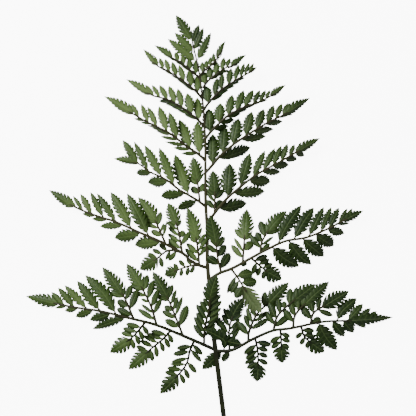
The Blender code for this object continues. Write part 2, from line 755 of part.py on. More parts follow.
def make_rachis():
    """Stipe and rachis as a tapering tube."""
    curve = bpy.data.curves.new("rachis", "CURVE")
    curve.dimensions = "3D"
    curve.bevel_depth = MM
    curve.bevel_resolution = 1
    curve.use_fill_caps = True
    spline = curve.splines.new("POLY")
    points = rachis_points()
    spline.points.add(len(points) - 1)
    for knot, place in zip(spline.points, points):
        knot.co = (*(place * MM), 1)
        knot.radius = rachis_radius(place.y)
    tube = bpy.data.objects.new("rachis_curve", curve)
    bpy.context.scene.collection.objects.link(tube)
    return mesh_of(tube, "fern_frond")


def add_boolean(thing, operation, other=None, collection=None):
    cut = thing.modifiers.new(operation.lower(), "BOOLEAN")
    cut.operation = operation
    cut.solver = "EXACT"
    cut.use_self = collection is not None
    if collection is None:
        cut.object = other
    else:
        cut.operand_type = "COLLECTION"
        cut.collection = collection


def make_surface():
    bpy.ops.mesh.primitive_cube_add(size=1, location=SURFACE_PLACE)
    slab = bpy.context.object
    slab.name = "surface"
    slab.scale = SURFACE_SIZE
    slab.hide_render = True
    return slab


def make_material():
    leaf = bpy.data.materials.new("fern_green")
    leaf.use_nodes = True
    shader = leaf.node_tree.nodes["Principled BSDF"]
    shader.inputs["Base Color"].default_value = (0.035, 0.085, 0.022, 1)
    shader.inputs["Roughness"].default_value = 0.45
    shader.inputs["Metallic"].default_value = 0.0
    return leaf


def centre(thing):
    """Puts the middle of the frond's outline over the origin."""
    xs = [vert.co.x for vert in thing.data.vertices]
    ys = [vert.co.y for vert in thing.data.vertices]
    middle = Vector(((min(xs) + max(xs)) / 2, (min(ys) + max(ys)) / 2, 0))
    for vert in thing.data.vertices:
        vert.co -= middle


def main():
    for thing in list(bpy.data.objects):
        bpy.data.objects.remove(thing)
    draw = random.Random(SEED)
    leaves = bpy.data.collections.new("leaves")
    sheets = [grow_pinna(name, leaf, draw) for name, leaf in PINNAE.items()]
    for k, (foot, tip, width) in enumerate(TOP_BLADES):
        sheets.append(grow_top_blade(f"top_{k}", foot, tip, width))
    sheets.append(grow_top_blade("apex", RACHIS[-1], *APEX_BLADE))
    for sheet in sheets:
        leaves.objects.link(sheet)
    frond = make_rachis()
    slab = make_surface()
    add_boolean(frond, "DIFFERENCE", other=slab)
    add_boolean(frond, "UNION", collection=leaves)
    frond = mesh_of(frond, "fern_frond")
    for leaf in list(leaves.objects):
        bpy.data.objects.remove(leaf)
    bpy.data.objects.remove(slab)
    frond.name = "fern_frond"
    centre(frond)
    frond.data.materials.clear()
    frond.data.materials.append(make_material())


main()
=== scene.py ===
import math
import random
from collections import namedtuple

import bpy
import numpy as np
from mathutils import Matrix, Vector


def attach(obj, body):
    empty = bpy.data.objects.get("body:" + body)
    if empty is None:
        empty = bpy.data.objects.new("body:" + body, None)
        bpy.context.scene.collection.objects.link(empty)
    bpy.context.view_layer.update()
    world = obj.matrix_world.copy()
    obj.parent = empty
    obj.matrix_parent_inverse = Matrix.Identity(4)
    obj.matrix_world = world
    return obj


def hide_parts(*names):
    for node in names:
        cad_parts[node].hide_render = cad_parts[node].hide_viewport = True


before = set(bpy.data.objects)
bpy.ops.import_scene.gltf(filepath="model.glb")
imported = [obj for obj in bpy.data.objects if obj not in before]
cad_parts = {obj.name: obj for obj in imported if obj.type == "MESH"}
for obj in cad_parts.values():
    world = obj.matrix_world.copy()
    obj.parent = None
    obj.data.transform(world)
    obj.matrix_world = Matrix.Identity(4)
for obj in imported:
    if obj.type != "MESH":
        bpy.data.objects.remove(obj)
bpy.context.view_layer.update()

# Lengths here are in millimetres. The table of leaves is written from the photo's own middle line,
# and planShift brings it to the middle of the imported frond.
mm = 0.001
planShift = (5.2, -69.4)
picks = random.Random(11)

view = {
    "centre": (-1.2, 45.8),  # what the middle of the picture looks down on
    "frameWidth": 332.8,
    "lens": 70,
    "sensor": 36,
    "leafHeight": 6,
    "floorSize": 6000,
    "floorColour": (0.86, 0.86, 0.85),
    "floorGlow": 9.0,  # for the eye alone: it lights nothing
    "skyStrength": 0.22,
    "lamps": [
        # name, place, size, watts
        ("lampMain", (-760, 520, 760), 420, 17),
        ("lampFill", (700, -300, 1000), 900, 3),
    ],
}


def addThing(name, data):
    thing = bpy.data.objects.new(name, data)
    bpy.context.scene.collection.objects.link(thing)
    return thing


def setSocket(tree, socket, value):
    # A socket takes another node's output, a number or a colour
    if isinstance(value, bpy.types.NodeSocket):
        tree.links.new(value, socket)
    else:
        socket.default_value = (*value, 1) if isinstance(value, tuple) else value


def feed(tree, node, **values):
    for label, value in values.items():
        setSocket(tree, node.inputs[label.replace("_", " ")], value)


def addMath(tree, operation, *values, clamp=False):
    node = tree.nodes.new("ShaderNodeMath")
    node.operation = operation
    node.use_clamp = clamp
    for socket, value in zip(node.inputs, values):
        setSocket(tree, socket, value)
    return node.outputs[0]


def newPaint(name):
    paint = bpy.data.materials.new(name)
    paint.use_nodes = True
    return paint, paint.node_tree, paint.node_tree.nodes["Principled BSDF"]


def makeView():
    camera = addThing("camera", bpy.data.cameras.new("camera"))
    camera.data.lens = view["lens"]
    camera.data.sensor_width = view["sensor"]
    away = view["frameWidth"] * view["lens"] / view["sensor"] + view["leafHeight"]
    camera.location = Vector((*view["centre"], away)) * mm
    bpy.context.scene.camera = camera

    bpy.ops.mesh.primitive_grid_add(x_subdivisions=8, y_subdivisions=8, size=view["floorSize"] * mm)
    floor = bpy.context.object
    floor.name = "floor"
    paint, tree, shader = newPaint("paleFloor")
    seen = tree.nodes.new("ShaderNodeLightPath").outputs["Is Camera Ray"]
    feed(tree, shader, Base_Color=view["floorColour"], Roughness=0.9, Emission_Color=(1, 1, 1),
         Emission_Strength=addMath(tree, "MULTIPLY", seen, view["floorGlow"]))
    floor.data.materials.append(paint)

    sky = bpy.data.worlds.new("studio")
    sky.use_nodes = True
    feed(sky.node_tree, sky.node_tree.nodes["Background"], Color=(1, 1, 1), Strength=view["skyStrength"])
    bpy.context.scene.world = sky

    for name, place, size, watts in view["lamps"]:
        lamp = addThing(name, bpy.data.lights.new(name, "AREA"))
        lamp.data.shape = "DISK"
        lamp.data.size = size * mm
        lamp.data.energy = watts
        lamp.location = Vector(place) * mm
        lamp.rotation_euler = (-Vector(place)).to_track_quat("-Z", "Y").to_euler()


makeView()
print("camera, floor and lamps are in place")

# Stipe and rachis: places up the frond, with the height of the middle at some of them
stalk = {
    "stipeLength": 130,
    "stipeRadius": 2.1,
    "endRadius": 0.6,
    "places": [
        (1.5, -14.5), (-0.5, 1.5), (-2.5, 17.5), (-4, 33.5), (-5, 49.5), (-6.5, 65.5), (-7, 81.5),
        (-7, 97.5), (-8, 113.5), (-8.5, 129.5), (-8.5, 145.5), (-8.5, 161.5), (-9, 177.5),
        (-10, 193.5), (-11, 203), (-12.5, 217.5), (-15, 231), (-17.5, 241.5), (-19, 248),
    ],
    "heights": [
        (-150, 2.3), (-60, 2.1), (0, 1.9), (35, 1.5), (62, 0.98), (112, 0.8), (140, 2.4), (175, 5.5),
        (212, 7.8), (250, 8.0),
    ],
    "sides": 20,
    "groove": 0.3,  # share of the radius that the channel on its upper side is deep
    "grooveWidth": 0.42,  # in radians round the stalk, as a rib's below
    "rowLength": 1.6,
}

# How ribs and leaflets grow. A radius is given at no length, then for each millimetre.
growth = {
    "ribRadius": (0.92, 0.004),
    "sprayRibRadius": (0.95, 0.004),
    "stemRadius": (0.78, 0.003),
    "stemEnd": 0.45,  # how far a leaflet's stem runs on under its blade
    "ribGrooveWidth": 0.5,
    "crestShare": 0.45,
    "droop": 0.07,
    "arch": 0.05,
    "keel": 9,  # how far the halves of a blade hang from its midrib, in degrees
    "foldChange": 4,
    "toneChange": 0.12,
    "fullness": {"left": 1.04, "right": 1.12},
    "leafletFold": 10,
    "roomUsed": 1.27,
    "fringeFold": 60,  # a side that hangs more than this is a fringe
    "widestGap": 6.5,  # between two leaflets of a fringe, where one more is grown
    "longestStalk": 0.07,
    "angles": {"upper": 42, "lower": 62},
    "angleChange": 5,
    "leastWidth": 0.24,  # a leaflet narrower for its length has no room, and isn't grown
    "ceiling": 16.2,
    "floorGap": 0.06,
    # how far before the end of a rib's leaflets the blade begins, and how far the rib runs on under it
    "pinnaEnd": (0.02, 0.08),
    "sprayEnd": (0.03, 0.1),
}
ribForms = {  # sides, depth of the channel, millimetres from row to row
    "rib": (10, 0.25, 2.0),
    "sprayRib": (8, 0.25, 2.0),
    "stem": (6, 0.0, 2.5),
    "topStem": (6, 0.0, 2.0),
}

# A leaflet with its own leaflets: between which shares of its length the blade at its end begins, the step
# from leaflet to leaflet, their length as a share of its own, the longest, and how far they turn level.
# Where they are even, the table's own leaflets give their length only.
sprayForms = {
    "upper": {"ends": (0.42, 0.56), "step": 5.0, "share": 0.34, "longest": 14, "level": 0.3, "even": False,
        "leaflet": "leaflet", "tip": "sprayTip"},
    "lower": {"ends": (0.54, 0.64), "step": 5.4, "share": 0.38, "longest": 15.5, "level": 0.75, "even": True,
        "leaflet": "slimLeaflet", "tip": "slimTip"},
}
sprayRules = {
    "firstSteps": (0.7, 1.2),  # how many steps up the first leaflet is, on the left and on the right
    "leastShare": 0.08,  # and the nearest to the foot that one grows
    "clearSteps": 0.8,  # none is added nearer to one in the table
    "evenLength": 1.25,  # of an even leaflet, as a share of the table's
    "evenLeast": 0.72,  # and the least, as a share of the usual length
    "margin": 0.04,  # from the last leaflet to the end blade, and past its foot
}

# A blade's outline is along ** rise * (1 - along) ** fall. Small and large hold the width of its teeth or
# lobes, then how deep they are cut as a share of the half width, both at the foot, the middle and the tip.
# Size says from what length to what length the blade goes from the one to the other.
bladeForms = {
    "pinnule": {"rise": 0.5, "fall": 0.88, "lean": 0.62, "size": (11, 25),
        "small": ((3.2, 2.7, 2.1), (0.24, 0.26, 0.28)), "large": ((5.0, 4.2, 2.8), (0.52, 0.37, 0.27))},
    "leaflet": {"rise": 0.55, "fall": 0.66, "lean": 0.45, "size": (6, 20),
        "small": ((2.4, 2.0, 1.6), (0.06, 0.1, 0.16)), "large": ((3.0, 2.6, 2.0), (0.2, 0.24, 0.26))},
    "pinnaTip": {"rise": 0.2, "fall": 0.92, "lean": 0.8, "size": (8, 32),
        "small": ((3.8, 3.0, 2.2), (0.42, 0.34, 0.28)), "large": ((5.2, 4.2, 2.8), (0.54, 0.4, 0.3))},
    "sprayTip": {"rise": 0.3, "fall": 0.92, "lean": 0.8, "size": (8, 22),
        "small": ((3.8, 3.0, 2.2), (0.46, 0.36, 0.28)), "large": ((4.8, 4.0, 2.8), (0.64, 0.5, 0.3))},
    "slimLeaflet": {"rise": 0.5, "fall": 0.6, "lean": 0.4, "size": (6, 20),
        "small": ((2.6, 2.2, 1.8), (0.05, 0.08, 0.12)), "large": ((3.0, 2.6, 2.0), (0.16, 0.2, 0.22))},
    "slimTip": {"rise": 0.2, "fall": 0.84, "lean": 0.66, "size": (8, 22),
        "small": ((4.2, 3.4, 2.4), (0.54, 0.42, 0.3)), "large": ((5.0, 4.2, 2.8), (0.64, 0.5, 0.32))},
    "topBlade": {"rise": 0.3, "fall": 0.86, "lean": 0.75, "size": (10, 30),
        "small": ((3.6, 3.0, 2.2), (0.42, 0.36, 0.28)), "large": ((4.6, 3.6, 2.2), (0.55, 0.42, 0.3))},
}
toothRows = (0, 0.07, 0.24, 0.48, 0.72, 0.9)
toothReach = (0, 0.32, 0.64, 0.92, 1.0, 0.76, 0)  # a tooth points forward
lobeReach = (0, 0.7, 0.92, 1.0, 0.98, 0.84, 0)  # a lobe is broad, with a narrow gap before the next
bladeSkin = {
    "across": (0, 0.09, 0.3, 0.54, 0.8, 1),
    "acrossSmall": (0, 0.14, 0.45, 0.78, 1),
    "smallWidth": 5.5,
    "thickness": 0.34,
    "rimThickness": 0.2,
    "ribThickness": (0.2, 0.4),  # more along the midrib, and how far from it
    "leastHalf": (0.1, 0.12),  # half width at the tip, and how much more at the foot
    "lobed": (0.2, 0.5),  # from a tooth to a lobe, between these cuts
    "toothChange": (0.85, 1.15),
    "reachChange": (0.9, 1.04),
    "grooveWidth": 0.28,
    "grooveDepth": 0.16,
    "curl": 0.16,  # how far the edge bends down, as a share of the half width
    "puff": 0.08,
    "lobePuff": 0.24,
    "veinDepth": 0.12,
    "veinWidth": 0.13,  # as a share of a tooth
    "wave": 0.1,
}
bladeWidths = {  # at no length, then for each millimetre of length, and the most
    "pinnule": (2.4, 0.44, 13.5),
    "leaflet": (2.8, 0.4, 8.0),
    "slimLeaflet": (2.2, 0.22, 5.4),
    "pinnaTip": (3.0, 0.34, 13.0),
    "sprayTip": (4.4, 0.38, 13.0),
    "slimTip": (5.2, 0.52, 14.0),
}

# Leaves of the first order, from the lowest on the left up, and from the top on the right down. The course
# is the rib's, from the stalk outwards: the last place but one is where the blade at its end begins, and the
# last its tip. Crest and low are the heights of its arch and of its tip, fold is how far each side hangs, and
# tone how light it is: its own tone, with painted sheen that makes the pinnae on the left lighter, towards
# the main lamp, and painted shade that makes those on the right darker. A leaflet is the x of its foot, the x
# and y of its tip, then the places that its own rib passes, its own leaflets' tips, and what it wishes for.
usualPinna = {"crest": 13, "low": 10}
pinnae = {}
pinnae["leftOne"] = {
    "course": [(-1.5, 1.5), (-13, 7), (-29, 14.5), (-48, 22.5), (-69, 28), (-93, 33.5), (-113, 36),
        (-129, 39), (-153.5, 44)],
    "crest": 12, "low": 0.35, "fold": (6, 24), "tone": (0.1, 0.0),
    "upper": [
        (-9.5, 0.5, 62.5, [(-9, 18.5), (-6, 33), (-4, 48)],
         [(-21, 20.5), (-17.5, 29.5), (-13.5, 38), (-10.5, 43), (6, 38.5), (5.5, 44), (4, 49.5)],
         {"lift": 16, "tone": -0.35, "form": "lower"}),
        (-26.5, -51, 64, [(-32, 27), (-39, 43)],
         [(-41, 25.5), (-41.5, 36), (-23, 37), (-27, 44), (-32, 49.5), (-35, 53.5)]),
        (-47, -72, 70.5, [(-52, 37), (-60, 52)],
         [(-62.5, 34.5), (-60, 42.5), (-44, 42.5), (-46.5, 49.5), (-50.5, 57), (-55, 61.5)]),
        (-65.5, -91, 68, [(-73, 44), (-82.5, 57)], [(-79, 35), (-79, 41), (-63, 49.5)]),
        (-79, -104.5, 61.5, [(-89.5, 46.5)]), (-92, -111, 57), (-102.5, -121, 53.5), (-113, -126.5, 51.5),
        (-121, -132, 48)],
    "lower": [
        (-17.5, -45, -34.5, [(-21, 0), (-25.5, -13.5)],
         [(-35, 5.5), (-36, 1), (-38.5, -6.5), (-40, -12), (-41, -17.5), (-9.5, -6.5), (-12, -12),
          (-17, -17), (-22.5, -23)]),
        (-36, -70.5, -15, [(-43, 9.5), (-53, 1)],
         [(-53.5, 16), (-58.5, 10.5), (-62.5, 4), (-32, 10.5), (-35, 5.5), (-41, 3), (-46.5, -1.5)]),
        (-56, -85.5, -1.5, [(-63, 16), (-69.5, 9.5)],
         [(-71, 21.5), (-76, 16), (-52, 18.5), (-55, 13.5), (-61, 7)]), (-70.5, -99.5, 17.5, [(-85, 24)]),
        (-83, -101, 25.5), (-97, -112.5, 28), (-109.5, -121, 33), (-119, -129, 35)],
}
pinnae["leftTwo"] = {
    "course": [(-6.5, 67), (-13, 69), (-21, 73.5), (-26.5, 79), (-45, 89), (-61, 96), (-79, 104),
        (-99, 110.5), (-115, 117.5), (-133.5, 129.5)],
    "low": 7, "fold": (8, 34), "tone": (0.25, 0.2),
    "upper": [
        (-13.5, -23, 116, [(-14.5, 81.5), (-17.5, 99)], [(-25, 82.5), (-21.5, 92), (-7, 85), (-8.5, 94.5)],
         {"lift": 6}), (-27, -38.5, 119.5, [(-31, 100)], [(-38.5, 90.5), (-25.5, 97), (-28, 105.5)]),
        (-40, -62.5, 124, [(-48, 104), (-55, 115)], [(-52, 97), (-41.5, 103)]),
        (-53, -71, 127, [(-61.5, 109)]), (-67, -84, 128, [(-75, 113.5)]), (-79, -95, 127), (-89, -100, 128),
        (-98.5, -108, 126.5), (-105.5, -114, 125), (-111, -119, 125)],
    "lower": [
        (-13.5, -41.5, 61, [(-23, 68)], [(-25.5, 71), (-32, 67), (-21, 64)]),
        (-28, -61.5, 65.5, [(-38.5, 81), (-49, 73.5)],
         [(-47, 85.5), (-51, 82.5), (-53.5, 78.5), (-35, 76), (-40, 73.5), (-45, 69.5)]),
        (-43, -65.5, 85, [(-54.5, 87)]), (-59, -81.5, 91), (-73, -93, 100.5), (-85, -99, 106.5),
        (-95, -106.5, 110.5)],
}
pinnae["leftThree"] = {
    "course": [(-8, 116), (-13, 120), (-21, 125), (-29, 129.5), (-41, 138.5), (-53, 144), (-63, 151),
        (-81.5, 154.5)],
    "crest": 11, "low": 9, "fold": (8, 52), "tone": (0.25, 0.05),
    "upper": [
        (-13, -18.5, 156.5, [(-15, 137.5)], [(-20, 132), (-8.5, 134.5)], {"lift": 4}),
        (-21.5, -33, 158.5, [(-28, 143)]), (-33, -45.5, 163.5), (-43, -57, 165.5), (-53.5, -65.5, 168.5),
        (-61.5, -74.5, 169.5)],
    "lower": [(-14.5, -31, 114.5), (-24, -44.5, 124.5), (-37.5, -55, 135.5), (-51, -64, 143)],
}
pinnae["leftFour"] = {
    "course": [(-9, 153.5), (-13, 157.5), (-25, 165.5), (-37, 174.5), (-53, 182.5), (-67, 190.5), (-89, 204)],
    "crest": 12, "fold": (8, 62), "tone": (0.6, 0.3),
    "upper": [(-13, -15, 185), (-20, -29.5, 186.5), (-30.5, -37.5, 192), (-38.5, -45.5, 196.5),
        (-46.5, -54.5, 196), (-53.5, -59.5, 198), (-61, -67.5, 198.5), (-67, -73, 199)],
    "lower": [(-14.5, -28, 159), (-24, -41, 168.5), (-35, -48, 177), (-45.5, -55, 181), (-56, -65.5, 186.5)],
}
pinnae["leftFive"] = {
    "course": [(-9.5, 180), (-14.5, 185.5), (-26.5, 194.5), (-38.5, 201), (-53, 205.5), (-71.5, 217.5)],
    "fold": (8, 70), "tone": (0.6, 0.2),
    "upper": [(-13.5, -15, 204), (-19, -23, 207), (-26.5, -30.5, 210.5), (-32, -37.5, 212.5),
        (-38, -45, 213), (-44, -51, 213), (-49, -55.5, 213), (-53.5, -61, 213)],
    "lower": [(-15, -25.5, 190.5), (-25.5, -36, 196.5), (-36, -45.5, 200.5)],
}
pinnae["leftSix"] = {
    "course": [(-11, 202.5), (-16, 208), (-26.5, 216), (-37, 223), (-48, 229), (-58, 241.5)],
    "fold": (8, 72), "tone": (0.3, 0.0),
    "upper": [(-14.5, -15, 221.5), (-19.5, -21.5, 225.5), (-25, -29.5, 229), (-31, -35, 231.5),
        (-36.5, -40.5, 233.5), (-41.5, -45, 234.5), (-46, -49, 236.5)],
    "lower": [(-16, -26.5, 214.5), (-26.5, -36, 221), (-37, -45.5, 227)],
}
pinnae["leftSeven"] = {
    "course": [(-13.5, 219.5), (-18.5, 223), (-26.5, 229.5), (-35, 234.5), (-49, 244.5)],
    "crest": 12, "fold": (8, 70), "tone": (0.2, 0.0),
    "upper": [(-16, -16, 233.5), (-20.5, -21.5, 234.5), (-25, -27, 237), (-29.5, -32.5, 239),
        (-34.5, -37, 240)],
    "lower": [(-19, -28, 229), (-28, -37, 234.5)],
}
pinnae["rightSeven"] = {
    "course": [(-13, 221), (-8, 225.5), (-2.5, 229.5), (2, 236), (7.5, 248)],
    "crest": 12, "fold": (8, 72), "tone": (0.07, 0.02),
    "upper": [(-11, -11, 232), (-8, -7.5, 233), (-5, -4.5, 235.5), (-2, -2, 238.5), (0.5, 1, 241.5)],
    "lower": [(-7, 0, 230.5), (-1, 5, 237.5)],
}
pinnae["rightSix"] = {
    "course": [(-10.5, 211), (-6.5, 216), (0, 221), (8, 226.5), (13, 228), (24, 237)],
    "fold": (8, 74), "tone": (0.07, 0.02),
    "upper": [(-9, -10.5, 225), (-5, -5, 228), (-1, 1, 231.5), (4, 6.5, 235), (8, 11, 234), (11.5, 15, 234)],
    "lower": [(-5, 2.5, 221), (2.5, 10.5, 225), (9.5, 17, 229)],
}
pinnae["rightFive"] = {
    "course": [(-9.5, 193.5), (-7, 197.5), (3, 208), (11, 213.5), (19, 218.5), (27, 223), (32.5, 227)],
    "fold": (8, 74), "tone": (-0.02, -0.02),
    "upper": [(-6.5, -8, 213), (-1.5, 1, 219), (3.5, 5, 223), (9.5, 12, 226.5), (14.5, 18, 229),
        (19, 22.5, 230.5), (22.5, 26.5, 231), (25.5, 30, 230.5)],
    "lower": [(-4, 5.5, 206), (5, 15, 213), (14.5, 23, 219)],
}
pinnae["rightFour"] = {
    "course": [(-8.5, 170.5), (-5, 175), (1.5, 181.5), (9, 188), (21, 194.5), (33.5, 199), (44, 204.5),
        (55.5, 213)],
    "fold": (8, 68), "tone": (-0.02, -0.02),
    "upper": [(-5, -6, 195), (2, 3.5, 199), (9, 13, 205.5), (15.5, 22, 209), (22, 29.5, 209), (29, 35, 209),
        (34, 39.5, 209), (39, 43, 209), (43, 47, 210.5)],
    "lower": [(-2.5, 10.5, 181), (8, 20, 191), (19, 30.5, 197), (31, 41, 201)],
}
pinnae["rightThree"] = {
    "course": [(-8, 144), (-3, 149.5), (4, 157.5), (13, 165), (27, 174.5), (43, 184), (55, 190), (75, 203)],
    "crest": 12, "low": 9, "fold": (8, 55), "tone": (-0.1, -0.1),
    "upper": [(-3, -2.5, 175), (5, 7, 181), (13, 18, 187), (23, 28.5, 192), (31.5, 38, 194), (40, 46, 197),
        (47, 52.5, 198.5), (52.5, 57.5, 199), (57.5, 61.5, 199), (61.5, 65.5, 199.5)],
    "lower": [(1, 28, 164), (19, 40.5, 173), (29, 46.5, 178.5), (38.5, 53.5, 184.5), (48, 59, 189.5)],
}
pinnae["rightTwoB"] = {
    "course": [(-6.5, 104), (-1.5, 110.5), (7, 121), (17.5, 130.5), (32, 141.5), (49, 151), (65.5, 160.5),
        (83, 171)],
    "crest": 12, "low": 8, "fold": (8, 45), "tone": (-0.05, -0.05),
    "upper": [
        (-1, -2.5, 145.5, [(-1, 125.5)], [(-7.5, 121.5), (5.5, 121)], {"lift": 4}), (9, 11, 151),
        (19, 27, 159), (29, 39, 161), (37, 47, 163), (45, 52, 165), (51.5, 57, 166.5), (58, 62.5, 166),
        (63, 66.5, 165), (67, 71, 167)],
    "lower": [(1.5, 25, 119), (13, 39.5, 128.5), (25.5, 44, 136), (36, 52, 144), (44, 58.5, 149.5),
        (54.5, 65, 154), (63, 71, 157)],
}
pinnae["rightTwo"] = {
    "course": [(-5, 57.5), (3, 63), (13, 67), (27, 75), (41.5, 83), (55, 89), (72, 92), (89.5, 99),
        (103, 106), (118, 113)],
    "low": 6, "fold": (8, 30), "tone": (-0.1, -0.2),
    "upper": [
        (4, -5, 110, [(1.5, 75), (-0.5, 89.5)], [(-7, 76), (-7, 85.5), (11, 79), (8, 85.5), (7, 92)],
         {"lift": 10}), (21, 25, 114.5, [(23, 93)], [(29.5, 88), (29, 95)], {"tone": 0.5}),
        (35, 56.5, 113, [(37, 89.5), (45, 101)], [(32, 96), (43, 87)]), (49, 68, 117.5, [(56, 101)]),
        (61.5, 78, 115.5, [(69.5, 104)]), (73.5, 86, 116), (83, 92, 116), (89.5, 98, 115.5),
        (97.5, 105, 115), (103, 109, 115)],
    "lower": [
        (12, 36, 32.5, [(16, 61.5), (19, 57), (27, 44)], [(9, 47), (29.5, 63)],
         {"lift": 14, "turn": 170, "wide": 1.1, "form": "upper"}), (19, 25, 70),
        (28, 53, 57.5, [(34.5, 69.5), (41.5, 64)],
         [(39.5, 78.5), (41.5, 74.5), (45, 71), (29, 63), (33.5, 60), (37.5, 57)]), (44, 67, 68, [(55, 75)]),
        (57, 77, 69.5, [(67, 77.5)]), (68, 87, 76), (78.5, 95, 84.5), (88, 103, 94.5), (96, 107, 103)],
}
pinnae["rightOne"] = {
    "course": [(0, 0), (13, 1.5), (29.5, 11), (45, 18), (59, 20), (85, 25), (107, 25.5), (143, 27)],
    "low": 0.35, "fold": (6, 24), "tone": (-0.25, -0.25),
    "upper": [(6, -9.5, 18.5, [(7, 9), (0, 14.5)], [], {"lift": 20, "tone": -0.3}),
        (11, 23, 42.5, [(10.5, 15), (13, 27), (17.5, 36)],
         [(-4, 31), (8.5, 41), (15, 46.5), (20, 22.5), (21.5, 29.5)]),
        (21.5, 9.5, 9, [], [], {"lift": 12, "tone": -0.3}),
        (25.5, 58.5, 55.5, [(26.5, 17), (33, 30.5), (44, 41)],
         [(39.5, 48), (44.5, 51), (33.5, 41), (42.5, 26.5), (50.5, 37.5)]),
        (45.5, 79.5, 54.5, [(49, 29.5), (60, 40)],
         [(59.5, 51), (64.5, 52), (54.5, 41), (58.5, 29.5), (69.5, 32)]),
        (61, 90.5, 56.5, [(63, 30.5), (74.5, 42.5)], [(73, 31), (69.5, 26.5)]),
        (75, 106, 49, [(77.5, 32), (88, 38.5)], [(83, 44), (93, 29.5), (83.5, 27)]),
        (96, 112.5, 43, [(101, 33.5)]), (105, 117.5, 38.5), (113, 124, 35), (120, 129, 32.5)],
    "lower": [(5, -11, -15, [(0, -4.5)]), (11, 5.5, -9),
        (31, 33, -25, [(33.5, 0), (34, -13)],
         [(21, -5), (23, -11), (25.5, -16), (44, 9), (41.5, 1.5), (40, -6.5), (39, -12)]),
        (51, 53.5, -10, [(52, 9), (52.5, 1.5)],
         [(42.5, 13.5), (42.5, 7), (45, 1), (61, 17), (59, 13), (59, 6.5)]),
        (67, 87.5, -1, [(71, 12), (78.5, 5.5)], [(63, 13), (67, 8), (78.5, 19), (79, 13.5)]),
        (81, 97.5, 0.5, [(87, 13.5)]), (92, 103, 12), (101, 110.5, 15),
        (109.5, 120.5, 19, [], [], {"tone": 0.5})],
}

# Blades near the apex, and the one that ends the frond: foot, tip, width, tone, which holds painted sheen on
# the left and painted shade on the right
topBlades = [
    ((-15.5, 232), (-38.5, 250), 9.8, 0.25), ((-17.5, 239), (-33, 255), 9.0, 0.2),
    ((-15, 233), (-4, 255), 8.4, 0.1), ((-17.5, 241), (-10, 259), 7.6, -0.15),
    ((-19, 247), (-13.5, 261.5), 7.2, -0.3), ((-19, 248), (-32, 269), 10.6, 0.1),
]


def change(key):
    return picks.uniform(-growth[key], growth[key])


def unit(rows):
    return rows / np.maximum(np.linalg.norm(rows, axis=-1, keepdims=True), 1e-9)


class Way:
    # A smooth line through some points, read by the share of its length
    def __init__(self, points, smooth=True):
        points = np.array(points, float)
        if smooth and len(points) > 2:
            points = self.rounded(points)
        self.points = points
        steps = np.linalg.norm(np.diff(points, axis=0), axis=1)
        self.ways = np.concatenate([[0], np.cumsum(steps)])
        self.length = self.ways[-1]

    def rounded(self, points, steps=10):
        ends = np.vstack([2 * points[0] - points[1], points, 2 * points[-1] - points[-2]])
        t = (np.arange(steps) / steps)[:, None]
        parts = [0.5 * (2 * b + (c - a) * t + (2 * a - 5 * b + 4 * c - d) * t ** 2
                        + (3 * b - a - 3 * c + d) * t ** 3)
                 for a, b, c, d in zip(ends, ends[1:], ends[2:], ends[3:])]
        return np.vstack(parts + [points[-1:]])

    def place(self, share):
        way = np.clip(share, 0, 1) * self.length
        return np.stack([np.interp(way, self.ways, self.points[:, k]) for k in range(3)], axis=-1)

    def heading(self, share):
        share = np.clip(share, 0.02, 0.98)
        return unit(self.place(share + 0.02) - self.place(share - 0.02))

    def shareAtX(self, x):
        shares = np.linspace(0, 1, 401)
        return shares[np.argmin(abs(self.place(shares)[:, 0] - x))]

    def shareOfFoot(self, tip, angle):
        # Where a leaflet with this tip leaves the line at the given angle
        shares = np.linspace(0.02, 0.92, 91)
        out = unit((tip - self.place(shares))[:, :2])
        along = unit(self.heading(shares)[:, :2])
        angles = np.degrees(np.arccos(np.clip((out * along).sum(axis=1), -1, 1)))
        far = np.linalg.norm((tip - self.place(shares))[:, :2], axis=1)
        return shares[np.argmin(abs(angles - angle) + 1.5 * far)]

    def rest(self, share):
        return Way(self.place(share + (1 - share) * np.linspace(0, 1, 9)), smooth=False)


class Skin:
    # The corners, faces and surface values of one piece, gathered before it becomes a mesh
    def __init__(self, name):
        self.name = name
        self.corners = []
        self.faces = []
        self.slots = []
        self.values = {key: [] for key in ("along", "across", "offRib", "phase", "tone", "under")}
        self.count = 0

    def add(self, corners, faces, slot, **values):
        corners = corners.reshape(-1, 3)
        corners[:, 2] = np.maximum(corners[:, 2], growth["floorGap"])
        self.corners.append(corners)
        self.faces.append(faces + self.count)
        self.slots.append(np.full(len(faces), slot))
        for key, rows in self.values.items():
            rows.append(np.broadcast_to(values.get(key, 0.0), (len(corners),)).astype(float))
        self.count += len(corners)

    def piece(self, materials):
        corners = np.vstack(self.corners)
        corners[:, :2] += planShift
        mesh = bpy.data.meshes.new(self.name)
        mesh.from_pydata((corners * mm).tolist(), [], np.vstack(self.faces).tolist())
        for key, rows in self.values.items():
            mesh.attributes.new(key, "FLOAT", "POINT").data.foreach_set("value", np.concatenate(rows))
        for material in materials:
            mesh.materials.append(material)
        mesh.polygons.foreach_set("material_index", np.concatenate(self.slots))
        mesh.shade_smooth()
        mesh.set_sharp_from_angle(angle=math.radians(60))
        thing = addThing(self.name, mesh)
        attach(thing, "root")
        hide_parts("fern_frond")
        return thing


def quads(a, b, c, d):
    return np.stack([a, b, c, d], axis=-1).reshape(-1, 4)


def tubeFaces(rows, sides):
    index = np.arange(rows * sides).reshape(rows, sides)
    after = np.roll(index, -1, axis=1)
    middle = sides // 2
    caps = np.array([(row[k], row[sides - 1 - k], row[sides - 2 - k], row[k + 1])
                     for row in (index[0], index[-1]) for k in range(middle - 1)])
    caps[:middle - 1] = caps[:middle - 1, ::-1]
    return np.vstack([quads(index[:-1], after[:-1], after[1:], index[1:]), caps[:, ::-1]])


